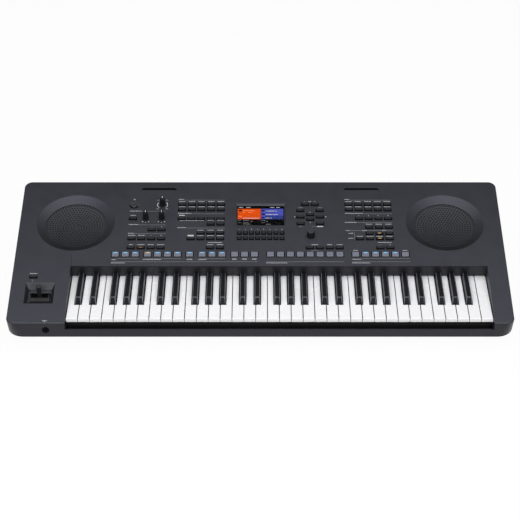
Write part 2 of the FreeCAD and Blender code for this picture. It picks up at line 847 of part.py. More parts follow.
for side in (-1, 1):
    mouth = plate(slot_outline(0.0), -slot_depth, 2.0 * slot_depth)
    case_cuts.append(moved(mouth, side * slot_spread, slot_y, slot_z))
for x, y in case_posts:
    case_cuts.append(peg(screw_radius + thread_clearance, x, y, 0.0, screw_boss_top + 2.0 * screw_length))
case_cuts.append(spike(
    phones_face_radius + hole_clearance, phones_place[0], phones_place[1],
    2.0 * front_y, front_y + phones_hole_depth,
))
case_cuts.append(block(
    plate_x[0] + plate_margin, plate_x[1] - plate_margin, back_y - 2.0 * case_wall, 2.0 * back_y,
    plate_z[0] + plate_margin, plate_z[1] - plate_margin,
))
upper = shell.cut(panel_cuts)
upper = upper.fuse(additions)
upper = upper.cut(case_cuts)
save("upper_case", [max(upper.Solids, key=lambda solid: solid.Volume)])


# Lower case: a shallow tray whose rim stands inside the upper case
def tray(inset, low):
    """The tray's outside, or its hollow when inset."""
    half = half_width - lower_inset - inset
    y0 = front_y + lower_inset + inset
    y1 = back_y - lower_inset - inset
    r_front = corner_front_low - lower_inset - inset
    r_back = corner_back - lower_inset - inset
    wires = [
        rounded_outline(
            half - floor_inset_side, y0 + floor_inset_front, y1 - floor_inset_back, r_front, r_back, low
        ),
        rounded_outline(half, y0, y1, r_front, r_back, seam_height),
    ]
    return Part.makeLoft(wires, True, True)


tongue_outside = case_wall + tongue_clearance
tongue_inside = tongue_outside + tongue_width


def rim_outline(inset, z):
    """The tongue's outline at a height."""
    return rounded_outline(
        half_width - inset, front_y + inset, back_y - inset, corner_front_low - inset, corner_back - inset, z
    )


lower = tray(0.0, foot_height).cut(tray(lower_wall, floor_top))
rim_up = vector(0.0, 0.0, tongue_height)
tongue = Part.Face(rim_outline(tongue_outside, seam_height)).extrude(rim_up)
tongue = tongue.cut(Part.Face(rim_outline(tongue_inside, seam_height)).extrude(rim_up))
tongue_gaps = [peg(post_radius + tongue_clearance, x, y, 0.0, sky) for x, y in case_posts]
tongue_gaps += [
    block(x - post_size, x + post_size, front_y, front_y + corner_front_low, 0.0, sky)
    for x in (well_left - well_wall, well_right + well_wall)
]
lower_parts = [tongue.cut(tongue_gaps)]
for x, y in case_posts:
    lower_parts.append(peg(screw_boss_radius, x, y, foot_height, screw_boss_top))
chassis_screw_places = []
for x in chassis_screw_spread:
    for setback in chassis_screw_setbacks:
        chassis_screw_places.append((key_block_shift + x, key_front_y + setback))
for x, y in chassis_screw_places:
    c = chassis_boss / 2.0
    lower_parts.append(block(x - c, x + c, y - c, y + c, foot_height, chassis_height))
board_corners = []
for low_corner, high_corner in (main_board, amp_board):
    for x in (low_corner[0] + board_corner, high_corner[0] - board_corner):
        for y in (low_corner[1] + board_corner, high_corner[1] - board_corner):
            board_corners.append((x, y))
for x, y in board_corners:
    c = board_boss / 2.0
    lower_parts.append(block(x - c, x + c, y - c, y + c, foot_height, main_board_height))
lower_cuts = []
for x, y in case_posts:
    lower_cuts.append(peg(screw_recess_radius, x, y, 0.0, foot_height + screw_recess))
    lower_cuts.append(peg(screw_radius + screw_hole_clearance, x, y, 0.0, seam_height))
for x, y in chassis_screw_places:
    lower_cuts.append(peg(screw_radius + thread_clearance, x, y, floor_top, sky))
for x, y in board_corners:
    lower_cuts.append(peg(small_screw_radius + thread_clearance, x, y, floor_top, sky))
lower = lower.fuse(lower_parts).cut(lower_cuts)
save("lower_case", [max(lower.Solids, key=lambda solid: solid.Volume)])

# Feet and the screws that hold the case together
foot_rows = (front_y + foot_from_front, back_y - foot_from_back)
foot_columns = (-half_width + foot_from_side, 0.0, half_width - foot_from_side)
save("rubber_feet", [peg(foot_radius, x, y, 0.0, foot_height) for x in foot_columns for y in foot_rows])
head_low = foot_height + screw_recess - screw_head_height
case_screws = []
for x, y in case_posts:
    head = peg(screw_head_radius, x, y, head_low, foot_height + screw_recess)
    shank = peg(screw_radius, x, y, head_low, head_low + screw_head_height + screw_length)
    case_screws.append(fused([head, shank]))
save("case_screws", case_screws)

# Keys
white_names = ("c", "d", "e", "f", "g", "a", "b")
black_names = ("c_sharp", "d_sharp", "f_sharp", "g_sharp", "a_sharp")
black_after = {"c_sharp": 1, "d_sharp": 2, "f_sharp": 4, "g_sharp": 5, "a_sharp": 6}
semitones = {
    "c": 0, "c_sharp": 1, "d": 2, "d_sharp": 3, "e": 4, "f": 5,
    "f_sharp": 6, "g": 7, "g_sharp": 8, "a": 9, "a_sharp": 10, "b": 11,
}
black_middles = {name: black_after[name] * white_pitch + black_shifts[name] * across for name in black_names}
tail_back = pivot_setback + tail_behind


def tail(semitone, start):
    """The lever behind a key, bored for the pivot rod."""
    middle = (semitone + 0.5) * tail_pitch
    a = tail_width / 2.0
    return block(middle - a, middle + a, start, tail_back, -key_body_depth, -tail_top)


def bored(key):
    """Bore a key for the pivot rod."""
    return key.cut(bar(pivot_radius + pivot_clearance, -octave, 2.0 * octave, pivot_setback, -pivot_drop))


def white_key(index, last=False):
    """A white key, with its octave's left side at X = 0 and its front top edge at Y = 0, Z = 0."""
    left = index * white_pitch + key_gap / 2.0
    right = (index + 1) * white_pitch - key_gap / 2.0
    reach = black_base_width / 2.0 + black_clearance
    neck_left = left
    neck_right = right
    for middle in black_middles.values():
        if abs(middle - left) < white_pitch / 2.0:
            neck_left = max(neck_left, middle + reach)
        if abs(middle - right) < white_pitch / 2.0 and not last:
            neck_right = min(neck_right, middle - reach)
    outline = [(left, 0.0), (right, 0.0)]
    outline += [(right, white_head), (neck_right, white_head)] if neck_right < right else []
    outline += [(neck_right, white_length), (neck_left, white_length)]
    outline += [(neck_left, white_head), (left, white_head)] if neck_left > left else []
    key = plate(outline, -key_body_depth, 0.0)
    key = soften(key, key_edge_radius, lambda edge: (
        min(v.Z for v in edge.Vertexes) > -key_edge_radius
        and min(v.Y for v in edge.Vertexes) < white_length - key_skin
    ))
    relief = [(-lip_thickness, -lip_height), (lip_thickness, -lip_height)]
    relief += [(y, -z) for y, z in lip_relief]
    relief += [(lip_relief[-1][0], -2.0 * key_body_depth), (-lip_thickness, -2.0 * key_body_depth)]
    cuts = [section(relief, left - key_gap, right + key_gap)]
    head_end = white_head - key_side
    cuts.append(block(
        left + key_side, right - key_side, lip_thickness, head_end, -2.0 * key_body_depth, -key_skin
    ))
    cuts.append(block(
        neck_left + key_side, neck_right - key_side, head_end - key_side, white_length - key_side,
        -2.0 * key_body_depth, -key_skin,
    ))
    key = key.cut(cuts)
    middle = (neck_left + neck_right) / 2.0
    c = pusher_size / 2.0
    pusher = block(middle - c, middle + c, pusher_setback - c, pusher_setback + c, -pusher_drop, -key_side)
    semitone = semitones[white_names[index]]
    return bored(fused([key, tail(semitone, white_length - key_side), pusher]))


def black_key(name):
    """A black key in its octave, with its front at the same line as the white keys' fronts."""
    middle = black_middles[name]
    a = black_base_width / 2.0
    b = black_top_width / 2.0
    wires = []
    for half, front, z in ((a, black_front, -black_root), (b, black_front + black_front_slope, black_rise)):
        corners = [
            vector(middle - half, front, z), vector(middle + half, front, z),
            vector(middle + half, black_back, z), vector(middle - half, black_back, z),
        ]
        wires.append(Part.makePolygon(corners + corners[:1]))
    raised = Part.makeLoft(wires, True, True)
    raised = soften(raised, black_edge_radius, lambda edge: (
        max(v.Z for v in edge.Vertexes) > black_rise - key_skin
        and min(v.Y for v in edge.Vertexes) < black_back - key_skin
    ))
    cavity = block(
        middle - b + key_side, middle + b - key_side, black_front + black_front_slope + key_side,
        black_back - key_skin, -2.0 * black_root, black_rise - key_skin,
    )
    w = black_body_width / 2.0
    body = block(middle - w, middle + w, black_front + key_side, white_length, -key_body_depth, -black_root)
    pocket = block(
        middle - w + key_side, middle + w - key_side, black_front + 2.0 * key_side, white_length - key_side,
        -2.0 * key_body_depth, -black_root,
    )
    c = pusher_size / 2.0
    pusher = block(
        middle - c, middle + c, pusher_setback - c, pusher_setback + c, -pusher_drop, black_rise - key_side
    )
    lever = tail(semitones[name], white_length - key_side)
    deck = block(
        middle - w, middle + w, black_back - key_side, white_length, -black_root - key_side, -black_root
    )
    return bored(fused([raised.cut(cavity), body.cut(pocket), deck, pusher, lever]))


def octaves(key, count):
    """Copies of one key, octave by octave."""
    return [moved(key, key_left + octave * index, key_front_y, key_top_height) for index in range(count)]


full_octaves = white_count // whites_in_octave
for index, name in enumerate(white_names):
    save(name + "_keys", octaves(white_key(index), full_octaves))
for name in black_names:
    save(name + "_keys", octaves(black_key(name), full_octaves))
top_key = moved(white_key(0, last=True), key_left + octave * full_octaves, key_front_y, key_top_height)
save("top_c_key", [top_key])

# Chassis under the keys: guides, rod ribs and felt shelves on one plate
chassis_left = key_left - key_well_clearance + chassis_clearance
chassis_right = key_left + key_block + key_well_clearance - chassis_clearance
chassis_parts = [block(
    chassis_left, chassis_right, key_front_y + chassis_front, key_front_y + chassis_back,
    chassis_height, plate_top,
)]
white_guide = white_pitch - key_gap - 2.0 * (key_side + guide_clearance)
black_guide = black_body_width - 2.0 * (key_side + guide_clearance)
for index in range(white_count):
    middle = key_left + (index + 0.5) * white_pitch
    y = key_front_y + white_guide_setback
    a = white_guide / 2.0
    chassis_parts.append(block(middle - a, middle + a, y, y + guide_depth, chassis_height, guide_top))
for number in range(full_octaves):
    for middle in black_middles.values():
        x = key_left + number * octave + middle
        y = key_front_y + black_guide_setback
        a = black_guide / 2.0
        chassis_parts.append(block(x - a, x + a, y, y + guide_depth, chassis_height, guide_top))
last_tail = full_octaves * steps_in_octave
rib_steps = [number * steps_in_octave + step for number in range(full_octaves) for step in rib_tails]
rib_steps += [last_tail, last_tail + 1]
a = rib_thickness / 2.0
for step in rib_steps:
    x = key_left + step * tail_pitch
    y = pivot_y - rib_depth / 2.0
    chassis_parts.append(block(x - a, x + a, y, y + rib_depth, chassis_height, rib_top))
felt_levels = []
for setback in (white_felt_setback, black_felt_setback):
    felt_levels.append((setback, key_bottom - drop_at(setback) - felt_clearance))
felt_levels.append((rest_felt_setback, key_bottom - felt_clearance))
for setback, level in felt_levels:
    y = key_front_y + setback
    chassis_parts.append(block(
        chassis_left, chassis_right, y, y + felt_depth, chassis_height, level - felt_height
    ))
chassis = fused(chassis_parts)
chassis_cuts = [bar(pivot_radius + rod_seat_clearance, -case_width, case_width, pivot_y, pivot_z)]
for x, y in chassis_screw_places:
    chassis_cuts.append(peg(screw_radius + screw_hole_clearance, x, y, 0.0, guide_top))
save("key_chassis", [chassis.cut(chassis_cuts)])
rod_left = key_left - a
rod_right = key_left + (last_tail + 1) * tail_pitch + a
save("key_pivot_rod", [bar(pivot_radius, rod_left, rod_right, pivot_y, pivot_z)])
felts = []
for setback, level in felt_levels:
    y = key_front_y + setback
    felts.append(block(chassis_left, chassis_right, y, y + felt_depth, level - felt_height, level))
save("key_stop_felts", felts)

# Key springs, contact boards and rubber contacts
key_steps = [(number * octave, name) for number in range(full_octaves) for name in semitones]
key_steps.append((full_octaves * octave, "c"))
spring_top = key_bottom - drop_at(spring_setback - spring_radius) - spring_clearance
springs = []
for offset, name in key_steps:
    x = key_left + offset + (semitones[name] + 0.5) * tail_pitch
    y = key_front_y + spring_setback
    coil = peg(spring_radius, x, y, plate_top, spring_top)
    springs.append(coil.cut(peg(spring_bore, x, y, plate_top, spring_top)))
save("key_springs", springs)
board_top = plate_top + contact_board_thickness
board_joint = key_block_shift
contact_boards = []
for x0, x1 in ((chassis_left, board_joint - key_gap), (board_joint + key_gap, chassis_right)):
    contact_boards.append(block(
        x0, x1, key_front_y + contact_front, key_front_y + contact_back, plate_top, board_top
    ))
save("key_contact_boards", contact_boards)
dome_top = key_top_height - pusher_drop - drop_at(pusher_setback - pusher_size) - dome_clearance
strip_y = key_front_y + pusher_setback
strips = []
for number in range(full_octaves + 1):
    x0 = key_left + number * octave + key_gap
    x1 = min(x0 + octave - 2.0 * key_gap, key_left + key_block - key_gap)
    strip = [block(
        x0, x1, strip_y - contact_strip_depth / 2.0, strip_y + contact_strip_depth / 2.0,
        board_top, board_top + contact_strip_height,
    )]
    c = dome_size / 2.0
    for index, name in enumerate(white_names):
        if number < full_octaves or name == "c":
            left = index * white_pitch + key_gap / 2.0
            right = left + white_pitch - key_gap
            reach = black_base_width / 2.0 + black_clearance
            for middle in black_middles.values():
                if abs(middle - left) < white_pitch / 2.0:
                    left = max(left, middle + reach)
                if abs(middle - right) < white_pitch / 2.0 and number < full_octaves:
                    right = min(right, middle - reach)
            x = key_left + number * octave + (left + right) / 2.0
            strip.append(block(x - c, x + c, strip_y - c, strip_y + c, board_top, dome_top))
    for middle in black_middles.values():
        if number < full_octaves:
            x = key_left + number * octave + middle
            strip.append(block(x - c, x + c, strip_y - c, strip_y + c, board_top, dome_top))
    strips.append(fused(strip))
save("key_contact_rubbers", strips)

# Joystick: a frame on posts, a barrel that rocks in it, and a lever that swings in the barrel
axle = -barrel_drop
pin_end = barrel_length / 2.0 + yoke_pin_length
cheek_parts = [block(
    -frame_half, frame_half, -frame_depth - frame_post / 2.0, frame_depth + frame_post / 2.0,
    -frame_drop - frame_cheek, -frame_drop,
)]
for side in (-1, 1):
    inner = side * (barrel_length / 2.0 + frame_gap)
    outer = inner + side * frame_cheek
    cheek_parts.append(block(
        min(inner, outer), max(inner, outer),
        -barrel_radius, barrel_radius, axle - barrel_radius, -frame_drop,
    ))
opening = barrel_radius + frame_gap
frame = fused(cheek_parts)
frame_cuts = [block(
    -barrel_length / 2.0 - frame_gap, barrel_length / 2.0 + frame_gap, -opening, opening, -sky, sky
)]
frame_cuts.append(bar(yoke_pin_radius + shaft_clearance, -frame_half * 2.0, frame_half * 2.0, 0.0, axle))
for x, s in frame_posts:
    frame_cuts.append(peg(
        small_screw_radius + screw_hole_clearance, x - joystick_place[0], s - joystick_place[1], -sky, sky
    ))
save("joystick_frame", [on_panel(moved(solid, *joystick_place)) for solid in frame.cut(frame_cuts).Solids])
barrel = bar(barrel_radius, -barrel_length / 2.0, barrel_length / 2.0, 0.0, axle)
barrel = fused([barrel, bar(yoke_pin_radius, -pin_end, pin_end, 0.0, axle)])
half_inside = barrel_length / 2.0 - frame_cheek
barrel_cuts = [
    block(-half_inside, half_inside, -barrel_slot / 2.0, barrel_slot / 2.0, axle - sky, axle + sky),
    spike(lever_pin_radius + shaft_clearance, 0.0, axle, -lever_pin_reach - shaft_hole_clearance, sky),
]
barrel = barrel.cut(barrel_cuts)
save("joystick_barrel", [on_panel(moved(barrel, *joystick_place))])
stick = peg(lever_radius, 0.0, 0.0, axle, lever_top)
stick = soften(stick, lever_edge, lambda edge: min(v.Z for v in edge.Vertexes) > lever_top - lever_edge)
lever = fused([stick, spike(lever_pin_radius, 0.0, axle, -lever_pin_reach, lever_pin_reach)])
save("joystick_lever", [on_panel(moved(lever, *joystick_place))])


# Sockets at the front and back
def socket(face_y, direction, x, z, nose, bore, reach):
    """A jack behind a wall: a body, and a nose that comes through it."""
    a = socket_body[0] / 2.0
    b = socket_body[1] / 2.0
    y0, y1 = sorted((face_y, face_y - direction * reach))
    body = block(x - a, x + a, y0, y1, z - b, z + b)
    tip = face_y + direction * socket_nose_length
    y2, y3 = sorted((face_y, tip))
    spout = spike(nose, x, z, y2, y3)
    y4, y5 = sorted((tip, face_y - direction * (reach - key_side)))
    return fused([body, spout]).cut(spike(bore, x, z, y4, y5))


phones_wall = crease_y - front_lean * (crease_height - phones_place[1]) / (crease_height - seam_height)
phones = socket(
    phones_wall + case_wall + hole_clearance, -1, phones_place[0], phones_place[1],
    socket_nose, socket_bore, socket_body[2],
)
collar = spike(
    phones_face_radius, phones_place[0], phones_place[1],
    phones_wall, phones_wall + case_wall + hole_clearance,
)
collar = collar.cut(spike(socket_bore, phones_place[0], phones_place[1], 2.0 * front_y, 0.0))
save("headphone_jack", [fused([phones, collar])])
plate_face = back_y - case_wall
plate_inside = plate_face - plate_thickness
jack_plate = block(plate_x[0], plate_x[1], plate_inside, plate_face, plate_z[0], plate_z[1])
plate_cuts = [spike(socket_nose + nose_clearance, x, jack_line, 0.0, sky) for x in jack_columns]
plate_cuts.append(spike(aux_nose + nose_clearance, aux_column, jack_line, 0.0, sky))
plate_cuts.append(spike(socket_nose + nose_clearance, inlet_column, jack_line, 0.0, sky))
jacks = []
for x in jack_columns:
    jacks.append(socket(plate_inside, 1, x, jack_line, socket_nose, socket_bore, socket_body[2]))
jacks.append(socket(plate_inside, 1, aux_column, jack_line, aux_nose, aux_bore, socket_depth))
inlet = socket(plate_inside, 1, inlet_column, jack_line, socket_nose, inlet_bore, socket_depth)
inlet_floor = plate_inside - socket_depth + key_skin / 2.0
inlet_core = spike(inlet_pin, inlet_column, jack_line, inlet_floor, plate_inside)
jacks.append(fused([inlet, inlet_core]))
for x, face, mouth in ((usb_column, usb_face, usb_mouth), (drive_column, drive_face, drive_mouth)):
    a = face[0] / 2.0
    b = face[1] / 2.0
    c = mouth[0] / 2.0
    d = mouth[1] / 2.0
    gap = nose_clearance
    plate_cuts.append(block(x - a - gap, x + a + gap, 0.0, sky, jack_line - b - gap, jack_line + b + gap))
    tip = plate_inside + socket_nose_length
    body = block(x - a, x + a, plate_inside - socket_depth, tip, jack_line - b, jack_line + b)
    hollow = block(x - c, x + c, plate_inside - socket_depth + key_side, tip, jack_line - d, jack_line + d)
    jacks.append(body.cut(hollow))
save("rear_jack_plate", [jack_plate.cut(plate_cuts)])
save("rear_jacks", jacks)


# Boards, wiring and screws inside
def held_board(corners):
    """A board on four bosses, with its screw holes."""
    (x0, y0), (x1, y1) = corners
    return block(x0, x1, y0, y1, main_board_height, main_board_height + board_thickness)


board_face = main_board_height + board_thickness
board_holes = [peg(small_screw_radius + screw_hole_clearance, x, y, 0.0, sky) for x, y in board_corners]
chips = []
for x, y, w, d, h in chip_blocks:
    chips.append(block(
        x - w / 2.0, x + w / 2.0, y - d / 2.0, y + d / 2.0, main_board_height, board_face + h
    ))
sink_x, sink_y, sink_w, sink_d, sink_h = heat_sink
sink = block(
    sink_x - sink_w / 2.0, sink_x + sink_w / 2.0, sink_y - sink_d / 2.0, sink_y + sink_d / 2.0,
    main_board_height, board_face + sink_h,
)
main = fused([held_board(main_board)] + chips).cut(board_holes)
amp = fused([held_board(amp_board), sink]).cut(board_holes)
save("main_board", [main])
save("amplifier_board", [amp])


def under_panel(y, depth):
    """The height, at Y, of a plane that lies a depth under the panel."""
    return crease_height + (y - crease_y) * math.tan(slope) - depth / math.cos(slope)


ribbons = []
module_under = module_thickness - window_back
ends = [(x, y, board_depth + board_thickness) for x, y in ribbon_places]
ends.append((display_ribbon[0], display_ribbon[1], module_under))
for x, y, depth in ends:
    y1 = y + ribbon_thickness
    strip = section(
        ((y, board_face), (y1, board_face), (y1, under_panel(y1, depth)), (y, under_panel(y, depth))),
        x - ribbon_width / 2.0, x + ribbon_width / 2.0,
    )
    ribbons.append(strip)
magnet_under = dish_under + basket_depth + basket_skin + magnet_height
for start, end in ((main_board[0][0], -speaker_x), (amp_board[1][0], speaker_x)):
    x0, x1 = sorted((start, end))
    foot = block(
        min(start + board_corner, x0), max(start - board_corner, x1), lead_y, lead_y + lead_width,
        board_face, board_face + ribbon_thickness,
    )
    side = x0 if end < 0 else x1 - ribbon_thickness
    y1 = lead_y + lead_width
    rise = section(
        ((lead_y, board_face), (y1, board_face), (y1, under_panel(y1, magnet_under)),
         (lead_y, under_panel(lead_y, magnet_under))),
        side, side + ribbon_thickness,
    )
    ribbons.append(fused([foot, rise]))
save("wiring", ribbons)


def small_screw(x, y, z, up, length=small_screw_length):
    """A small screw whose head rests on a face at z; up is 1 when the head is above it."""
    head_end = z + up * small_head_height
    shank_end = z - up * length
    head = peg(small_head_radius, x, y, min(z, head_end), max(z, head_end))
    shank = peg(small_screw_radius, x, y, min(z, shank_end), max(z, shank_end))
    return fused([head, shank])


inner_screws = []
for x, y in chassis_screw_places:
    head = peg(screw_head_radius, x, y, plate_top, plate_top + screw_head_height)
    shank = peg(screw_radius, x, y, plate_top - screw_length + screw_recess, plate_top)
    inner_screws.append(fused([head, shank]))
for x, y in board_corners:
    inner_screws.append(small_screw(x, y, board_face, 1))
for posts in (left_posts, centre_posts, right_posts, hold_posts):
    for x, s in posts:
        inner_screws.append(on_panel(small_screw(x, s, -board_depth - board_thickness, -1)))
for x, s in frame_posts:
    inner_screws.append(on_panel(small_screw(x, s, -frame_drop - frame_cheek, -1)))
for cx, cs in speaker_places:
    for x, s in speaker_holes:
        inner_screws.append(on_panel(moved(
            small_screw(x, s, -dish_under - basket_skin, -1, speaker_screw_length), cx, cs
        )))
save("inner_screws", inner_screws)
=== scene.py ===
# %% [markdown]
# # Dressing an arranger keyboard
# The solid model comes in as a fixed frame: every node already sits where it belongs, in metres.
# This lesson gives each node its finish, and then adds what the solids leave out: the punched
# sheets over the speakers, the printing on the panel, the lamps and the picture on the display.

# %% Load the frame
import bpy
import bmesh
import math
from mathutils import Matrix, Vector


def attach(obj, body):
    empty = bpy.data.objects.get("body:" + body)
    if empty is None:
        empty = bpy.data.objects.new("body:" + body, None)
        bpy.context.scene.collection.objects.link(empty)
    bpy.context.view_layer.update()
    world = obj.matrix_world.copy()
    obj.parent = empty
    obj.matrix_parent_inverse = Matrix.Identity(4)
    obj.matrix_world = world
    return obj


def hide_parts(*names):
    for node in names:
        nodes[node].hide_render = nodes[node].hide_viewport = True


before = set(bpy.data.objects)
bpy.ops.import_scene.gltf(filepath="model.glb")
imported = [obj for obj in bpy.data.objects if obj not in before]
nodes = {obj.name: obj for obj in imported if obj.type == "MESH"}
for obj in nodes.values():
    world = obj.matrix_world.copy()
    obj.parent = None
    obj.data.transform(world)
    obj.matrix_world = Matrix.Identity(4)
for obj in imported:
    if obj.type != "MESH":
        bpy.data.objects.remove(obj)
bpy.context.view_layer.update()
scene = bpy.context.scene

# %% [markdown]
# ## One ruler for the panel
# Almost everything that is added lies on the sloping panel. It is easier to think in panel
# millimetres: across from the middle, up the slope from the front crease, and out of the panel.
# One matrix turns these into the frame's metres, so no piece needs fitting by eye.

# %% The panel's own coordinates
mm = 0.001
panel_slope = math.radians(11.0)
crease = Vector((0.0, -0.197, 0.0582))
to_panel = Matrix.Translation(crease) @ Matrix.Rotation(panel_slope, 4, "X") @ Matrix.Scale(mm, 4)
print("a point 300 mm up the slope is at", to_panel @ Vector((0.0, 300.0, 0.0)))

# %% [markdown]
# ## Tools for finishes
# A moulded surface is never one flat colour: its tone clouds a little, its sheen is uneven, and
# the mould leaves a grain. A small set of node helpers makes these three for every finish, always
# on Object coordinates, so a pattern stays on its piece when the piece moves.

# %% Colours and patterns
def linear(value):
    """One screen value from 0 to 255 as the light that it stands for."""
    value = value / 255.0
    return value / 12.92 if value <= 0.04045 else ((value + 0.055) / 1.055) ** 2.4


def tone(red, green, blue):
    """A screen colour as a shader colour."""
    return (linear(red), linear(green), linear(blue), 1.0)


def scaled(colour, gain):
    """The same colour, lighter or darker."""
    return tuple(channel * gain for channel in colour[:3]) + (1.0,)


noise_low = 0.3
noise_high = 0.7
grain_strength = 0.5


def cloud(tree, patch, detail=2.0):
    """A soft random pattern whose patches are about that many metres across."""
    where = tree.nodes.new("ShaderNodeTexCoord")
    pattern = tree.nodes.new("ShaderNodeTexNoise")
    pattern.inputs["Scale"].default_value = 1.0 / patch
    pattern.inputs["Detail"].default_value = detail
    tree.links.new(where.outputs["Object"], pattern.inputs["Vector"])
    return pattern.outputs["Fac"]


def between(tree, factor, low, high, start=noise_low, end=noise_high):
    """A number that goes from low to high while a factor goes from start to end."""
    spread = tree.nodes.new("ShaderNodeMapRange")
    for socket, value in (("From Min", start), ("From Max", end), ("To Min", low), ("To Max", high)):
        spread.inputs[socket].default_value = value
    tree.links.new(factor, spread.inputs["Value"])
    return spread.outputs["Result"]


def two_tones(tree, factor, low, high):
    """A colour that a pattern moves between two tones."""
    ramp = tree.nodes.new("ShaderNodeValToRGB")
    dark_stop, light_stop = ramp.color_ramp.elements
    dark_stop.position = noise_low
    dark_stop.color = low
    light_stop.position = noise_high
    light_stop.color = high
    tree.links.new(factor, ramp.inputs["Fac"])
    return ramp.outputs["Color"]


def moulded(name, colour, spread, sheen, grain, patch=0.03, sockets=None):
    """A finish with a clouded tone, an uneven sheen and a fine grain.

    The spread is the share by which the tone clouds, the sheen is the least and the greatest
    roughness, the grain is its width and depth, and the patch is the width of a cloud, in metres.
    """
    finish = bpy.data.materials.new(name)
    finish.use_nodes = True
    tree = finish.node_tree
    shader = tree.nodes["Principled BSDF"]
    patches = cloud(tree, patch)
    tones = two_tones(tree, patches, scaled(colour, 1.0 - spread), scaled(colour, 1.0 + spread))
    tree.links.new(tones, shader.inputs["Base Color"])
    tree.links.new(between(tree, patches, *sheen), shader.inputs["Roughness"])
    grain_width, grain_depth = grain
    relief = tree.nodes.new("ShaderNodeBump")
    relief.inputs["Strength"].default_value = grain_strength
    relief.inputs["Distance"].default_value = grain_depth
    tree.links.new(cloud(tree, grain_width, 1.0), relief.inputs["Height"])
    tree.links.new(relief.outputs["Normal"], shader.inputs["Normal"])
    for socket, value in (sockets or {}).items():
        shader.inputs[socket].default_value = value
    return finish


print("a screen grey of 128 stands for a light of", round(linear(128), 3))

# %% [markdown]
# ## The finishes
# The case is charcoal plastic with a fine spark-eroded grain. The keys are polished a little, the
# buttons are satin, and the inside has the usual boards, steel and felt. One even tone would leave
# hollows as light as the panel, so shade and light are painted into a finish inside a box of panel
# millimetres, or on the faces that look one way. Such painted shade and light belong to the piece, from
# wherever it is looked at.

# %% Shading by place and by facing
def sum_of(tree, operation, first, second=None):
    """One sum on two sockets, or on a socket and a plain number."""
    work = tree.nodes.new("ShaderNodeMath")
    work.operation = operation
    tree.links.new(first, work.inputs[0])
    if isinstance(second, float):
        work.inputs[1].default_value = second
    elif second is not None:
        tree.links.new(second, work.inputs[1])
    return work.outputs["Value"]


def scale_tones(finish, level):
    """Multiply a finish's tones by a level."""
    tree = finish.node_tree
    shader = tree.nodes["Principled BSDF"]
    shade = tree.nodes.new("ShaderNodeVectorMath")
    shade.operation = "SCALE"
    tree.links.new(shader.inputs["Base Color"].links[0].from_socket, shade.inputs[0])
    tree.links.new(level, shade.inputs["Scale"])
    tree.links.new(shade.outputs["Vector"], shader.inputs["Base Color"])


def shaded_zone(finish, low, high, near, far):
    """Shade a finish inside a box in panel millimetres, by one gain at its front and one at its back."""
    tree = finish.node_tree
    middle = (Vector(low) + Vector(high)) / 2.0
    half = (Vector(high) - Vector(low)) / 2.0
    where = tree.nodes.new("ShaderNodeTexCoord")
    ruler = tree.nodes.new("ShaderNodeMapping")
    ruler.inputs["Location"].default_value = to_panel.inverted() @ Vector() - middle
    ruler.inputs["Rotation"].default_value = (-panel_slope, 0.0, 0.0)
    ruler.inputs["Scale"].default_value = (1.0 / mm, 1.0 / mm, 1.0 / mm)
    tree.links.new(where.outputs["Object"], ruler.inputs["Vector"])
    place = tree.nodes.new("ShaderNodeSeparateXYZ")
    tree.links.new(ruler.outputs["Vector"], place.inputs["Vector"])
    inside = None
    for axis, limit in zip("XYZ", half):
        distance = sum_of(tree, "ABSOLUTE", place.outputs[axis])
        test = sum_of(tree, "LESS_THAN", distance, limit)
        inside = test if inside is None else sum_of(tree, "MULTIPLY", inside, test)
    level = tree.nodes.new("ShaderNodeMapRange")
    level.inputs["To Min"].default_value = 1.0
    tree.links.new(inside, level.inputs["Value"])
    gain = between(tree, place.outputs["Y"], near, far, -half.y, half.y)
    tree.links.new(gain, level.inputs["To Max"])
    scale_tones(finish, level.outputs["Result"])


def shaded_facing(finish, axis, start, end, gain):
    """Shade the faces that look along an axis either way, from a slight turn to it up to a full one."""
    tree = finish.node_tree
    geometry = tree.nodes.new("ShaderNodeNewGeometry")
    split = tree.nodes.new("ShaderNodeSeparateXYZ")
    tree.links.new(geometry.outputs["Normal"], split.inputs["Vector"])
    turn = sum_of(tree, "ABSOLUTE", split.outputs[axis])
    scale_tones(finish, between(tree, turn, 1.0, gain, start, end))


print("shading boxes are measured from", tuple(crease))

# %% The case
case_gloss = {"Specular IOR Level": 0.45, "Specular Tint": (0.93, 0.92, 1.0, 1.0)}
case_grain = (0.0009, 0.00005)
case_charcoal = moulded("case_charcoal", tone(46, 47, 54), 0.05, (0.4, 0.5), case_grain, 0.03, case_gloss)
past_end = 600.0
# Painted shade and light on the case: the front band, the fallboard, the music rest slots, the dish
# floors, the joystick well and the rounded back edge are painted darker; each dish wall is painted darker
# at the front and lighter at the back; the flat panel is painted lighter at the front and darker at the
# back.
case_painted_shade_and_light = {
    "front band": ((-past_end, -20.0, -80.0), (past_end, -0.2, 5.0), 0.3, 0.3),
    "fallboard": ((-470.0, 152.0, -40.0), (470.0, 162.0, -0.3), 0.3, 0.3),
    "music rest slots": ((-300.0, 373.0, -40.0), (300.0, 387.0, -0.4), 0.1, 0.1),
    "floors of the dishes": ((-490.0, 195.0, -40.0), (490.0, 372.0, -9.6), 0.3, 0.3),
    "wall of the left dish": ((-490.0, 195.0, -9.6), (-280.0, 365.0, -0.3), 0.15, 1.5),
    "wall of the right dish": ((280.0, 195.0, -9.6), (490.0, 365.0, -0.3), 0.15, 1.5),
    "joystick well": ((-480.0, 45.0, -60.0), (-405.0, 115.0, -0.6), 0.45, 0.45),
    "flat panel": ((-past_end, -0.2, -0.3), (past_end, 400.0, 1.0), 1.28, 0.85),
    "rounded back edge": ((-past_end, 397.0, -4.0), (past_end, 420.0, -0.3), 0.4, 0.4),
}
for low, high, near, far in case_painted_shade_and_light.values():
    shaded_zone(case_charcoal, low, high, near, far)
print("the case is shaded in", len(case_painted_shade_and_light), "places")

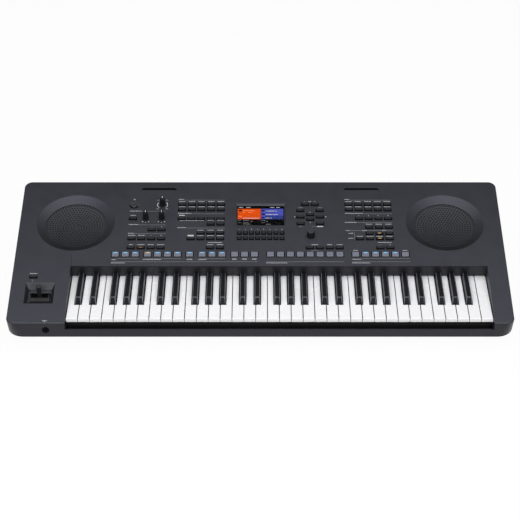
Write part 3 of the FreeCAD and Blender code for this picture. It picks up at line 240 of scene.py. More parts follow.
# %% Plastics
dull = {"Specular IOR Level": 0.25}
matt = {"Specular IOR Level": 0.05}
fine_grain = (0.0006, 0.00002)
faint_grain = (0.0006, 0.00001)
stick_grain = (0.0007, 0.00003)
chassis_grain = (0.001, 0.00004)
coarse_grain = (0.001, 0.00005)
tray_charcoal = moulded("tray_charcoal", tone(50, 51, 55), 0.06, (0.55, 0.7), (0.0012, 0.00006))
ivory_white = moulded("key_white", tone(245, 245, 247), 0.006, (0.24, 0.3), (0.004, 0.000005), 0.05)
# Painted shade: the sides of the white keys are painted dark so the gaps between them look shaded, and
# the keys' fronts are painted a little darker than their tops.
shaded_facing(ivory_white, "X", 0.2, 0.7, 0.35)
shaded_facing(ivory_white, "Y", 0.7, 0.95, 0.88)
ebony_black = moulded("key_black", tone(20, 21, 25), 0.1, (0.3, 0.38), fine_grain, 0.02, dull)
# A painted highlight: the lighter finish for the rounded edges of the black keys.
ebony_painted_highlight = moulded("key_black_edge_painted_highlight", tone(116, 118, 125), 0.1, (0.3, 0.4), fine_grain, 0.01)
# The dark buttons are painted near black, as painted shade on their sides; a lighter plate on each top
# stands for its lit top, a painted highlight.
button_dark = moulded("button_dark", tone(13, 13, 15), 0.08, (0.45, 0.55), fine_grain, 0.01, matt)
button_lit_top = moulded("button_lit_top", tone(36, 37, 41), 0.08, (0.45, 0.55), fine_grain, 0.01, dull)
button_grey = moulded("button_grey", tone(112, 115, 128), 0.06, (0.4, 0.5), fine_grain, 0.008, dull)
# A painted highlight: the lighter far half of the rim round the power button.
rim_painted_highlight = moulded("rim_painted_highlight", tone(84, 85, 90), 0.08, (0.35, 0.45), fine_grain, 0.01)
knob_black = moulded("knob_black", tone(23, 23, 27), 0.1, (0.4, 0.5), (0.0006, 0.00003), 0.008, dull)
# Painted light: the flat top of the data dial is painted much lighter than its sides, as a painted
# highlight.
shaded_zone(knob_black, (90.0, 225.0, 15.3), (120.0, 255.0, 17.0), 4.5, 4.5)
stick_black = moulded("stick_black", tone(30, 31, 35), 0.1, (0.3, 0.42), stick_grain, 0.01)
barrel_black = moulded("barrel_black", tone(15, 15, 17), 0.1, (0.4, 0.5), stick_grain, 0.01, dull)
chassis_black = moulded("chassis_black", tone(20, 20, 22), 0.08, (0.6, 0.75), chassis_grain, 0.04, dull)
socket_black = moulded("socket_black", tone(22, 22, 24), 0.12, (0.3, 0.45), fine_grain, 0.006)
chassis_grey = moulded("chassis_grey", tone(92, 94, 98), 0.08, (0.5, 0.65), chassis_grain, 0.04)
switch_black = moulded("switch_black", tone(38, 38, 41), 0.1, (0.4, 0.55), fine_grain, 0.006)
rubber_black = moulded("rubber_black", tone(34, 34, 35), 0.12, (0.75, 0.9), (0.0007, 0.00006), 0.01)
contact_rubber = moulded("contact_rubber", tone(140, 142, 138), 0.08, (0.6, 0.75), (0.001, 0.00003), 0.02)
felt_black = moulded("felt_black", tone(26, 26, 28), 0.2, (0.9, 1.0), (0.0005, 0.0003), 0.01)
cable_grey = moulded("cable_grey", tone(172, 173, 176), 0.1, (0.5, 0.65), coarse_grain, 0.01)
board_green = moulded("board_green", tone(28, 92, 52), 0.25, (0.25, 0.5), (0.002, 0.00005), 0.004)
cone_paper = moulded("cone_paper", tone(40, 40, 42), 0.15, (0.75, 0.9), (0.0008, 0.0001), 0.006)
print(len(bpy.data.materials), "finishes so far")

# %% Metals and glass
metal = {"Metallic": 1.0}
steel_grain = (0.0005, 0.00002)
steel_bright = moulded("steel_bright", tone(200, 200, 198), 0.1, (0.22, 0.38), steel_grain, 0.004, metal)
magnet_iron = moulded("magnet_iron", tone(92, 92, 94), 0.15, (0.4, 0.6), coarse_grain, 0.006, metal)
basket_paint = moulded("basket_paint", tone(40, 40, 42), 0.1, (0.4, 0.55), chassis_grain)
grille_paint = moulded("grille_paint", tone(54, 55, 60), 0.08, (0.5, 0.65), stick_grain, 0.02, dull)
# Painted shade and light: each sheet is painted darker at the front, where the near rim of its dish would
# shade it, and lighter at the back.
shaded_zone(grille_paint, (-past_end, 215.0, -60.0), (past_end, 343.0, 0.0), 0.5, 1.35)
module_black = moulded("module_black", tone(8, 8, 9), 0.1, (0.4, 0.5), (0.001, 0.00001), 0.02, matt)
glass = {"Transmission Weight": 1.0, "IOR": 1.12, "Specular IOR Level": 0.1}
window_clear = moulded("window_clear", tone(250, 250, 252), 0.005, (0.0, 0.02), (0.02, 0.0), 0.05, glass)
power_gloss_painted_light = moulded("power_gloss_painted_light", tone(52, 52, 57), 0.1, (0.2, 0.3), faint_grain, 0.008)
# Painted light and shade: the power button's top is painted a lighter grey, partly for its glossy
# highlight, and below its top the side is painted nearly black.
shaded_zone(power_gloss_painted_light, (-300.0, 310.0, -60.0), (-230.0, 350.0, 2.2), 0.05, 0.05)
print("metals and glass done")

# %% Every node gets its finish
finish_of = {
    "upper_case": case_charcoal, "lower_case": tray_charcoal, "speaker_grilles": grille_paint,
    "speaker_baskets": basket_paint, "speaker_cones": cone_paper, "speaker_magnets": magnet_iron,
    "display_window": window_clear, "display_module": module_black, "main_board": board_green,
    "amplifier_board": board_green, "panel_boards": board_green, "key_contact_boards": board_green,
    "button_switches": switch_black, "rotary_sensors": switch_black, "key_chassis": chassis_black,
    "key_contact_rubbers": contact_rubber, "key_pivot_rod": steel_bright, "key_springs": steel_bright,
    "key_stop_felts": felt_black, "joystick_frame": chassis_grey, "headphone_jack": socket_black,
    "rear_jack_plate": socket_black, "rear_jacks": socket_black, "rubber_feet": rubber_black,
    "case_screws": steel_bright, "inner_screws": steel_bright, "wiring": cable_grey,
    "joystick_barrel": barrel_black, "joystick_lever": stick_black,
    "volume_knob": knob_black, "control_knob_1": knob_black, "control_knob_2": knob_black,
    "data_dial": knob_black, "style_control_buttons": button_grey, "memory_buttons": button_grey,
    "pad_buttons": button_grey, "power_button": power_gloss_painted_light,
}
for name, node in nodes.items():
    if name.endswith("_keys") or name.endswith("_key"):
        finish = ebony_black if "sharp" in name else ivory_white
    else:
        finish = finish_of.get(name, button_dark)
    for slot in node.material_slots:
        slot.material = finish
print("finished", len(nodes), "nodes")

# %% [markdown]
# ## From a bmesh to a piece
# A new piece is shaped with bmesh operators in a handy place, moved to its real place, and handed
# to the body that carries it. Its object stays at the origin and its place is in the mesh, as with
# the nodes, so the finish on Object coordinates never slides.

# %% Turn a bmesh into a riding piece
def piece(name, shape, place, finish, body, smooth=False, closed=True):
    """Make an object from a bmesh, put it in its place and let it ride on a body."""
    shape.transform(place)
    if closed:
        bmesh.ops.recalc_face_normals(shape, faces=shape.faces)
    mesh = bpy.data.meshes.new(name)
    shape.to_mesh(mesh)
    shape.free()
    mesh.materials.append(finish)
    for polygon in mesh.polygons:
        polygon.use_smooth = smooth
    made = bpy.data.objects.new(name, mesh)
    scene.collection.objects.link(made)
    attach(made, body)
    print(name, len(mesh.polygons), "faces on", body)
    return made


def slab(shape, x, s, width, height, low, high):
    """A flat bar about (x, s), from one height to another."""
    middle = Matrix.Translation((x, s, (low + high) / 2.0))
    size = Matrix.Diagonal((width, height, high - low, 1.0))
    return bmesh.ops.create_cube(shape, size=1.0, matrix=middle @ size)["verts"]


def soft_slab(shape, x, s, width, height, low, high, edge):
    """A flat bar with rounded upright and upper edges."""
    corners = slab(shape, x, s, width, height, low, high)
    rims = dict.fromkeys(rim for corner in corners for rim in corner.link_edges)
    rims = [rim for rim in rims if max(end.co.z for end in rim.verts) > (low + high) / 2.0]
    bmesh.ops.bevel(
        shape, geom=rims, offset=edge, affect="EDGES", segments=2, profile=0.5, material=-1,
        clamp_overlap=True,
    )


print("new pieces will ride beside", len(nodes), "nodes")

# %% [markdown]
# ## Speaker sheets
# Over each speaker lies a thin sheet of painted steel, pressed into a shallow bowl and punched with
# rings of small holes. A picture of holes would not throw shadows, so the holes are real: a big
# circle and hundreds of small ones are drawn as edges, and one fill closes what lies between them.

# %% Punch the sheet
speaker_x = 384.7
speaker_s = 279.0
sheet_radius = 63.3
sheet_sides = 96
sheet_top = -11.4
sheet_thickness = 1.0
bowl_radius = 62.8
bowl_sag = 4.0
hole_pitch = 5.5
hole_radius = 1.85
hole_sides = 6
holes_more = 6
ring_start = 0.25


def punched_sheet(shape, x, s):
    """One bowl-shaped sheet with rings of round holes, about a speaker's middle."""
    flat = bmesh.new()
    bmesh.ops.create_circle(flat, cap_ends=False, radius=sheet_radius, segments=sheet_sides)
    for ring in range(1, int((bowl_radius - hole_radius) / hole_pitch) + 1):
        count = holes_more * ring
        for number in range(count):
            turn = Matrix.Rotation(2.0 * math.pi * (number + ring_start) / count, 4, "Z")
            spot = turn @ Matrix.Translation((ring * hole_pitch, 0.0, 0.0))
            bmesh.ops.create_circle(
                flat, cap_ends=False, radius=hole_radius, segments=hole_sides, matrix=spot
            )
    bmesh.ops.triangle_fill(
        flat, use_beauty=True, use_dissolve=False, edges=flat.edges[:], normal=(0, 0, 1)
    )
    for corner in flat.verts:
        share = min(1.0, corner.co.xy.length / bowl_radius)
        corner.co.z = sheet_top - bowl_sag * (1.0 - share ** 2)
    flat.transform(Matrix.Translation((x, s, 0.0)))
    stored = bpy.data.meshes.new("sheet")
    flat.to_mesh(stored)
    flat.free()
    shape.from_mesh(stored)
    bpy.data.meshes.remove(stored)


sheets = bmesh.new()
for side in (-1, 1):
    punched_sheet(sheets, side * speaker_x, speaker_s)
grilles = piece("speaker_sheets", sheets, to_panel, grille_paint, "case")
thickness = grilles.modifiers.new("thickness", "SOLIDIFY")
thickness.thickness = sheet_thickness * mm
thickness.offset = -1.0
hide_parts("speaker_grilles")

# %% [markdown]
# ## Painted highlights on the black keys
# The rounded edges of a black key catch the light, and here that light is a painted highlight. The
# rounded faces are
# already in the solids: they are the ones that face neither up, nor straight to a side, nor along
# the front slope. A copy of them, a few hundredths of a millimetre proud, takes a lighter finish as the
# painted highlight.

# %% Rounded edges of the black keys
key_rise = 13.0 * mm
skin = 0.03 * mm
weld = 0.001 * mm
top_facing = 0.97
side_facing = 0.965
front_facing = -0.9
upright_facing = 0.05
for name, node in nodes.items():
    if "sharp" not in name:
        continue
    edges = bmesh.new()
    edges.from_mesh(node.data)
    bmesh.ops.remove_doubles(edges, verts=edges.verts, dist=weld)
    top = max(corner.co.z for corner in edges.verts)
    plain = []
    for face in edges.faces:
        facing = face.normal
        level = facing.z > top_facing or facing.z < upright_facing
        flat = level or abs(facing.x) > side_facing or facing.y < front_facing
        if flat or face.calc_center_median().z < top - key_rise:
            plain.append(face)
    bmesh.ops.delete(edges, geom=plain, context="FACES")
    edges.normal_update()
    for corner in edges.verts:
        corner.co += corner.normal * skin
    piece(name + "_edges", edges, Matrix.Identity(4), ebony_painted_highlight, name, True, False)

# %% [markdown]
# ## Printing on the panel
# The panel is printed with thin rules that group the buttons, and with rows of short light dashes
# beside each button. An image could carry the printing, but bars a few hundredths of a millimetre
# high stay sharp from near and far.

# %% Inks
ink_grain = (0.0005, 0.00001)
ink_light = moulded("ink_light", tone(178, 180, 186), 0.05, (0.5, 0.6), ink_grain, 0.002)
ink_pale = moulded("ink_pale", tone(226, 227, 231), 0.03, (0.5, 0.6), ink_grain, 0.002)
ink_label = moulded("ink_label", tone(190, 191, 195), 0.03, (0.5, 0.6), ink_grain, 0.002)
ink_grey = moulded("ink_grey", tone(122, 124, 129), 0.05, (0.5, 0.6), ink_grain, 0.002)
ink_low = -0.05
ink_high = 0.06
ink_middle = (ink_low + ink_high) / 2.0
ink_depth = ink_high - ink_low
dash_least = 0.9
dash_spread = 0.8
dash_turn = 2.4
dash_gap = 0.5
shortest_dash = 0.4


def rule(shape, x0, x1, s, width=0.8):
    """A thin printed line across the panel."""
    slab(shape, (x0 + x1) / 2.0, s, x1 - x0, width, ink_low, ink_high)


def printed_disc(shape, x, s, radius, sides, turn=0.0):
    """A printed dot, or an arrow head when it has three sides."""
    spot = Matrix.Translation((x, s, ink_middle)) @ Matrix.Rotation(math.radians(turn), 4, "Z")
    bmesh.ops.create_cone(
        shape, cap_ends=True, segments=sides, radius1=radius, radius2=radius, depth=ink_depth, matrix=spot
    )


def dashes(shape, x, s, width, height=1.7):
    """A row of short printed dashes, as uneven as letters."""
    start = x - width / 2.0
    end = x + width / 2.0
    number = 0
    while start < end - shortest_dash:
        length = dash_least + dash_spread * abs(math.sin(x + s + dash_turn * number))
        length = min(length, end - start)
        slab(shape, start + length / 2.0, s, length, height, ink_low, ink_high)
        start += length + dash_gap
        number += 1


print("inks lie", ink_high, "mm proud of the panel")

# %% Rules between the groups of buttons
# Each rule is given by its left end, its right end and its place up the panel.
rules = bmesh.new()
for x0, x1, s in (
    (-159.3, -75.1, 345.6), (-142.3, -75.6, 304.9), (-153.2, -73.9, 262.8), (-248.0, -198.0, 312.3),
    (-252.0, -196.7, 272.0), (-259.2, -195.7, 246.3), (-294.0, -247.6, 175.2), (-238.4, -161.6, 175.2),
    (-149.4, -138.6, 175.2), (-126.7, -71.5, 175.2), (-303.0, -4.8, 166.2), (12.3, 170.2, 166.2),
    (189.9, 277.2, 345.6), (217.5, 276.7, 304.9), (202.9, 275.2, 278.8), (187.1, 210.2, 255.5),
    (223.3, 250.8, 255.5), (263.9, 274.9, 255.5), (206.8, 306.0, 175.6), (187.0, 305.4, 166.2),
    (104.0, 119.0, 198.2), (107.5, 117.0, 266.7),
):
    rule(rules, x0, x1, s)
for x, s, width in ((85.0, 322.9, 9.0), (125.8, 322.9, 9.0), (84.0, 267.4, 7.0)):
    dashes(rules, x, s, width)
for x, s, width, height in (
    (195.1, 240.4, 0.7, 20.6), (234.6, 238.5, 0.7, 20.6), (-459.3, 113.6, 0.8, 7.5),
):
    slab(rules, x, s, width, height, ink_low, ink_high)
piece("panel_rules", rules, to_panel, ink_grey, "case")

# %% Dashes beside the buttons
pitch = 20.3
small_print = 1.3
finest_print = 1.2
sound_x = -52.6
left_x = -266.0
style_x = -164.2
voice_x = 186.1
names = bmesh.new()
# Each row is given by its middle, its place up the panel and its width.
for column in range(5):
    for x, s, width in (
        (style_x, 341.4, 13.5), (style_x, 325.9, 12.5), (voice_x, 341.4, 13.5), (voice_x, 325.7, 12.5),
    ):
        dashes(names, x + column * pitch, s, width)
for x, s, width in (
    (-166.4, 347.9, 10.5), (183.0, 347.9, 10.5), (-158.5, 305.9, 28.0), (-163.6, 263.9, 18.6),
    (-93.0, 220.9, 29.0), (-261.4, 312.9, 25.0), (-266.3, 300.0, 11.0), (-263.0, 273.0, 20.7),
    (-267.5, 247.5, 13.0), (-266.0, 241.3, 15.0), (-245.7, 241.3, 14.0), (-266.0, 214.7, 8.0),
    (-245.7, 214.7, 15.0), (-225.4, 214.7, 12.0), (-205.1, 214.7, 15.0), (-299.3, 172.3, 8.4),
    (-221.0, 172.3, 38.0), (-144.6, 172.3, 11.0), (-118.0, 172.3, 16.0), (-290.0, 162.9, 29.0),
    (33.7, 162.9, 43.0), (205.6, 162.9, 37.0), (197.0, 173.2, 18.0), (196.7, 305.9, 38.0),
    (189.0, 279.5, 24.6), (182.0, 255.5, 8.0), (216.8, 255.5, 10.0), (257.0, 255.5, 9.0),
    (187.6, 247.3, 9.0), (187.3, 232.9, 10.0), (257.0, 220.9, 28.0), (195.5, 198.2, 9.0),
    (297.0, 198.2, 9.0), (112.2, 214.7, 14.0), (143.0, 214.7, 10.0), (163.4, 214.7, 12.0),
    (104.6, 341.6, 5.5),
    (-103.3, 285.7, 13.0), (-83.0, 285.7, 13.0), (-103.3, 214.7, 13.0), (-83.0, 214.7, 13.0),
    (-458.6, 133.4, 15.0), (-425.0, 6.0, 10.0),
):
    dashes(names, x, s, width)
for column in range(3):
    dashes(names, sound_x + column * pitch, 174.9, 9.0, small_print)
    dashes(names, sound_x + column * pitch, 172.3, 9.0, small_print)
    dashes(names, style_x + (column + 2) * pitch, 256.5, 13.0)
    dashes(names, style_x + (column + 2) * pitch, 240.6, 13.0)
    dashes(names, voice_x + (column + 2) * pitch, 274.0, 13.0)
for column in range(4):
    dashes(names, voice_x + (column + 1) * pitch, 238.6, 13.0)
# One long row is in finer print, and a small mark stands over the headphone socket.
dashes(names, -142.6, 284.7, 50.2, finest_print)
slab(names, -425.0, 3.9, 1.6, 2.2, ink_low, ink_high)
piece("panel_names", names, to_panel, ink_light, "case")

# %% Bright labels and dots
label_edge = 0.5
dot_sides = 12
labels = bmesh.new()
for x, s, width, height in ((-144.0, 240.8, 12.6, 4.0), (124.6, 267.4, 12.8, 2.6)):
    soft_slab(labels, x, s, width, height, ink_low, ink_high, label_edge)
piece("panel_labels", labels, to_panel, ink_label, "case")
bright = bmesh.new()
dashes(bright, style_x, 300.2, 12.0, 2.0)
control_knobs = (-239.4, -206.1)
control_s = 290.9
for x in control_knobs:
    for across, along, radius in ((-6.4, -9.6, 0.95), (0.0, -11.8, 0.55), (6.4, -9.6, 0.95)):
        printed_disc(bright, x + across, control_s + along, radius, dot_sides)
piece("panel_highlights", bright, to_panel, ink_pale, "case")

# %% [markdown]
# ## Painted shade round the buttons
# Each button stands in a hole, and the shade in the gap round it is painted as a frame of four dark bars.
# The gap is read from the solids: every loose island of a button node is one cap, and its outline where
# it leaves the panel gives the frame of four dark bars. The same outline gives the thin lighter plate on
# top of each dark button, a painted highlight for its lit top over a cap painted nearly black as painted
# shade.

# %% Painted shade in the gaps round the buttons
# Near black for the painted shade in the gaps round the buttons and on the near half of the power rim,
# and for the dark parting line and headphone rim.
black_trim_and_painted_shade = moulded("black_trim_and_painted_shade", tone(8, 8, 9), 0.1, (0.7, 0.8), faint_grain, 0.004, matt)


def islands(node):
    """The separate solids of a node, each as a list of corners in panel millimetres."""
    shape = bmesh.new()
    shape.from_mesh(node.data)
    bmesh.ops.remove_doubles(shape, verts=shape.verts, dist=weld)
    shape.transform(to_panel.inverted())
    left = set(shape.verts)
    found = []
    for first in shape.verts:
        if first not in left:
            continue
        left.remove(first)
        todo = [first]
        solid = [first]
        while todo:
            corner = todo.pop()
            for edge in corner.link_edges:
                other = edge.other_vert(corner)
                if other in left:
                    left.remove(other)
                    todo.append(other)
                    solid.append(other)
        found.append([corner.co.copy() for corner in solid])
    shape.free()
    return found


panel_skin = -0.5


def outline(cap):
    """The left, right, front and back of a cap where it leaves the panel."""
    above = [corner for corner in cap if corner.z > panel_skin]
    across = [corner.x for corner in above]
    along = [corner.y for corner in above]
    return min(across), max(across), min(along), max(along)


gap_high = 0.03
usual_gap = 0.55
gap_width = {"style_control_buttons": 1.7, "memory_buttons": 1.7, "pad_buttons": 1.7, "tab_buttons": 0.4}
gaps = bmesh.new()
for name, node in nodes.items():
    if not name.endswith("_buttons") and name != "joystick_hold_button":
        continue
    width = gap_width.get(name, usual_gap)
    for cap in islands(node):
        x0, x1, s0, s1 = outline(cap)
        reach = s1 - s0 + 2.0 * width
        for side, x in ((-1, x0), (1, x1)):
            slab(gaps, x + side * width / 2.0, (s0 + s1) / 2.0, width, reach, ink_low, gap_high)
        for side, s in ((-1, s0), (1, s1)):
            slab(gaps, (x0 + x1) / 2.0, s + side * width / 2.0, x1 - x0, width, ink_low, gap_high)
piece("button_gaps", gaps, to_panel, black_trim_and_painted_shade, "case")

# %% Lit tops of the dark buttons, painted lighter as a painted highlight
plate_side = 1.7
plate_front = 1.6
plate_back = 0.4
plate_sink = 0.1
plate_rise = 0.03
for name, node in nodes.items():
    if "button" not in name or name in finish_of:
        continue
    plates = bmesh.new()
    for cap in islands(node):
        top = max(corner.z for corner in cap)
        x0, x1, s0, s1 = outline(cap)
        x0 += plate_side
        x1 -= plate_side
        s0 += plate_front
        s1 -= plate_back
        low = top - plate_sink
        high = top + plate_rise
        slab(plates, (x0 + x1) / 2.0, (s0 + s1) / 2.0, x1 - x0, s1 - s0, low, high)
    piece(name + "_tops", plates, to_panel, button_lit_top, name)

# %% [markdown]
# ## The parting line
# On the left a fine line across the panel shows where the case was moulded in two steps. It could
# be a groove in the solid, but at this width one thin dark bar, turned a little, looks the same.

# %% The parting line on the left cheek
parting_place = (-385.4, 170.9, 0.0)
parting_length = 30.3
parting_slant = 1.7
parting_size = (0.6, parting_length, 0.1, 1.0)
parting = bmesh.new()
slant = Matrix.Rotation(math.atan2(parting_slant, parting_length), 4, "Z")
place = Matrix.Translation(parting_place) @ slant @ Matrix.Diagonal(parting_size)
bmesh.ops.create_cube(parting, size=1.0, matrix=place)
piece("parting_line", parting, to_panel, black_trim_and_painted_shade, "case")

# %% [markdown]
# ## Numbers, signs and arrows
# Plain numbers come from Blender's built-in font. A text object is made into a mesh first, and only
# then moved, so that the finished piece sits at the origin. Plus and minus signs come from the same
# font, and an arrow is a printed disc with only three sides.

# %% Numbers on the panel and on the memory buttons
stroke_share = 0.03


def number_mesh(shape, text, x, s, size, height):
    """Add one printed number, centred on a place."""
    curve = bpy.data.curves.new("number", "FONT")
    curve.body = text
    curve.size = size
    curve.offset = stroke_share * size
    curve.extrude = ink_high
    curve.align_x = "CENTER"
    curve.align_y = "CENTER"
    curve.resolution_u = 2
    holder = bpy.data.objects.new("number", curve)
    scene.collection.objects.link(holder)
    bpy.context.view_layer.update()
    drawn = holder.evaluated_get(bpy.context.evaluated_depsgraph_get())
    stored = bpy.data.meshes.new_from_object(drawn)
    stored.transform(Matrix.Translation((x, s, height)))
    shape.from_mesh(stored)
    bpy.data.objects.remove(holder)
    bpy.data.curves.remove(curve)
    bpy.data.meshes.remove(stored)


tab_x = -43.5
tab_s = 258.9
tab_pitch = 12.65
tab_size = 3.5
voice_s = 299.4
voice_size = 4.0
sign_size = 4.4
arrow_radius = 1.7
numbers = bmesh.new()
for index in range(8):
    number_mesh(numbers, str(index + 1), tab_x + tab_pitch * index, tab_s, tab_size, 0.0)
for index in range(4):
    number_mesh(numbers, str(index + 1), voice_x + (index + 1) * pitch, voice_s, voice_size, 0.0)
for x, s, sign in (
    (-225.4, 266.4, "-"), (-205.1, 266.4, "+"), (-225.4, 241.3, "-"), (-205.1, 241.3, "+"),
    (246.9, 214.5, "-"), (267.3, 214.5, "+"), (93.5, 341.4, "-"), (115.0, 341.4, "+"),
):
    number_mesh(numbers, sign, x, s, sign_size, 0.0)
for x, s, turn in ((72.2, 296.0, 180), (137.0, 296.0, 0), (104.4, 309.6, 90), (104.4, 279.6, -90)):
    printed_disc(numbers, x, s, arrow_radius, 3, turn - 90.0)
piece("panel_numbers", numbers, to_panel, ink_light, "case")

memory_x = 21.0
memory_s = 186.3
memory_size = 3.6
memory_top = 1.79
memory_numbers = bmesh.new()
for index in range(8):
    x = memory_x + pitch * index
    number_mesh(memory_numbers, str(index + 1), x, memory_s, memory_size, memory_top)
piece("memory_numbers", memory_numbers, to_panel, module_black, "memory_buttons")

# %% [markdown]
# ## The volume scale
# Two printed arcs run round the volume knob and thin out towards the front. Short bars turned about
# the knob's middle give the same arcs, because each bar is a little narrower than the one before.

# %% Arc marks round the knob
volume_x = -205.8
volume_s = 331.6
arc_radius = 10.6
arc_start = 52.0
arc_step = 6.0
arc_bars = 15
bar_width = 1.1
bar_taper = 0.02
bar_length = 1.25
word_width = 4.4
word_height = 0.8
arc = bmesh.new()
for side in (-1, 1):
    for step in range(arc_bars):
        angle = math.radians(90.0 - side * (arc_start + arc_step * step))
        spot = Matrix.Translation((volume_x, volume_s, 0.0)) @ Matrix.Rotation(angle, 4, "Z")
        reach = spot @ Matrix.Translation((arc_radius, 0.0, 0.0))
        size = Matrix.Diagonal((bar_width - bar_taper * step, bar_length, ink_depth, 1.0))
        bmesh.ops.create_cube(arc, size=1.0, matrix=reach @ size)
    for across, along in ((9.6, -12.2), (9.0, 14.0)):
        dashes(arc, volume_x + side * across, volume_s + along, word_width, word_height)
piece("volume_scale", arc, to_panel, ink_pale, "case")

# %% [markdown]
# ## Round the power button
# A rim lies round the power button: its far half is painted light, as a painted highlight, and its near
# half is painted dark, as painted shade, so it is made as two half rings, one in each finish. The mark
# above it is a ring with an upright stroke.

# %% The power mark and the rim round the power button
def half_ring(shape, x, s, inner, outer, start):
    """Half of a flat printed ring, from one angle on, as twenty bars."""
    steps = 20
    length = math.pi * outer / steps
    for step in range(steps):
        angle = math.radians(start) + math.pi * (step + 0.5) / steps
        turn = Matrix.Translation((x, s, 0.0)) @ Matrix.Rotation(angle, 4, "Z")
        reach = turn @ Matrix.Translation(((inner + outer) / 2.0, 0.0, ink_middle))
        size = Matrix.Diagonal((outer - inner, length, ink_depth, 1.0))
        bmesh.ops.create_cube(shape, size=1.0, matrix=reach @ size)


power_x = -265.6
power_s = 330.8
rim_inner = 8.7
rim_outer = 10.1
mark_s = power_s + 16.8
mark_inner = 1.3
mark_outer = 2.0
stroke_s = power_s + 18.6
stroke_width = 0.6
stroke_length = 2.2
stroke_rise = 0.02
mark = bmesh.new()
for start in (0.0, 180.0):
    half_ring(mark, power_x, mark_s, mark_inner, mark_outer, start)
slab(mark, power_x, stroke_s, stroke_width, stroke_length, ink_low, ink_high + stroke_rise)
piece("power_mark", mark, to_panel, ink_light, "case")
# The near half ring is painted shade and the far half ring a painted highlight.
for name, start, finish in (("power_rim_painted_shade", 165.0, black_trim_and_painted_shade), ("power_rim_painted_highlight", -15.0, rim_painted_highlight)):
    rim = bmesh.new()
    half_ring(rim, power_x, power_s, rim_inner, rim_outer, start)
    piece(name, rim, to_panel, finish, "case")

# %% [markdown]
# ## Lamps in the buttons
# The grey buttons have a lamp bar along their far edge, and some dark ones a small lens in the
# middle. A lit lamp gives off its own light, so its finish is an emission whose strength clouds
# slightly. Each lamp rides on its own group of buttons and goes down with it.

# %% Lamp finishes
lens_grain = (0.002, 0.000005)
skin_share = 0.2
dim_share = 0.92
lamp_patch = 0.004


def lamp(name, colour, strength, sockets=None):
    """A lit lens: its own light, a little uneven, under a smooth skin."""
    finish = moulded(name, scaled(colour, skin_share), 0.05, (0.2, 0.3), lens_grain, 0.003, sockets)
    tree = finish.node_tree
    shader = tree.nodes["Principled BSDF"]
    light = two_tones(tree, cloud(tree, lamp_patch), scaled(colour, dim_share), colour)
    tree.links.new(light, shader.inputs["Emission Color"])
    shader.inputs["Emission Strength"].default_value = strength
    return finish


lamp_blue = lamp("lamp_blue", tone(116, 190, 240), 0.9)
lamp_amber = lamp("lamp_amber", tone(226, 192, 104), 0.8)
lamp_dim = lamp("lamp_dim", tone(170, 126, 46), 0.7)
lens_dark = moulded("lens_dark", tone(44, 45, 49), 0.06, (0.15, 0.25), lens_grain, 0.003)
print("three lamp finishes and one for an unlit lens")

# %% Lamp bars on the grey buttons
grey_top = 1.8
lamp_s = 190.3
lamp_width = 7.4
lamp_height = 2.6
lamp_sink = 0.3
lamp_rise = 0.25
lens_edge = 0.2


def lamp_bar(shape, x):
    """The lamp bar along the far edge of a grey button."""
    low = grey_top - lamp_sink
    high = grey_top + lamp_rise
    soft_slab(shape, x, lamp_s, lamp_width, lamp_height, low, high, lens_edge)


style_columns = [-296.6 + pitch * step for step in range(3)]
style_columns += [-230.5 + pitch * step for step in range(4)]
style_columns += [-144.6]
style_columns += [-119.1 + pitch * step for step in range(3)]
amber_column = style_columns[3]
blue = bmesh.new()
amber = bmesh.new()
for x in style_columns:
    lamp_bar(amber if x == amber_column else blue, x)
piece("style_lamps", blue, to_panel, lamp_blue, "style_control_buttons")
piece("style_lamp_amber", amber, to_panel, lamp_amber, "style_control_buttons")
pad_x = 195.5
pads = bmesh.new()
for step in range(1, 5):
    lamp_bar(pads, pad_x + pitch * step)
piece("pad_lamps", pads, to_panel, lamp_blue, "pad_buttons")

# %% Lenses in the dark buttons
dark_top = 2.2
lens_width = 6.4
lens_height = 1.5
lens_low = dark_top - 0.3
lens_high = dark_top + 0.2
tempo_s = 205.4
part_near_s = 231.4
part_far_s = 246.2
part_columns = [voice_x + pitch * step for step in range(1, 5)]
lit_column = part_columns[2]
tempo_lit = [(left_x + pitch, tempo_s)]
tempo_unlit = [(left_x + pitch * step, tempo_s) for step in (0, 2, 3)]
part_lit = [(lit_column, part_near_s), (lit_column, part_far_s)]
part_unlit = [(x, part_near_s) for x in part_columns if x != lit_column]
part_unlit += [(part_columns[1], part_far_s), (part_columns[3], part_far_s)]
for body, label, finish, places in (
    ("tempo_buttons", "lit", lamp_dim, tempo_lit), ("tempo_buttons", "unlit", lens_dark, tempo_unlit),
    ("part_buttons", "lit", lamp_amber, part_lit), ("part_buttons", "unlit", lens_dark, part_unlit),
):
    lenses = bmesh.new()
    for x, s in places:
        soft_slab(lenses, x, s, lens_width, lens_height, lens_low, lens_high, lens_edge)
    piece(body + "_lenses_" + label, lenses, to_panel, finish, body)

# %% [markdown]
# ## The picture on the display
# Behind the window lies a lit screen. It shows a plain page: an orange half, a blue half, and rows
# of bars. An image would need pixels of its own, so each colour is one set of thin lit bars just
# above the screen's face, and darker or lighter ones lie on top of it in layers.

# %% Screen finishes
def glow(name, colour, strength):
    """A lit patch of the screen: it lies behind glass, so it has almost no gloss of its own."""
    return lamp(name, colour, strength, matt)


screen_orange = glow("screen_orange", tone(221, 78, 12), 0.88)
screen_blue = glow("screen_blue", tone(50, 60, 128), 0.85)
screen_violet = glow("screen_violet", tone(74, 82, 172), 0.85)
screen_white = glow("screen_white", tone(206, 206, 210), 0.8)
screen_peach = glow("screen_peach", tone(246, 140, 84), 0.9)
screen_dim = glow("screen_dim", tone(120, 120, 118), 0.85)
screen_black = moulded("screen_black", tone(9, 9, 10), 0.1, (0.4, 0.5), lens_grain, 0.01, matt)
print(len(bpy.data.materials), "finishes in all")

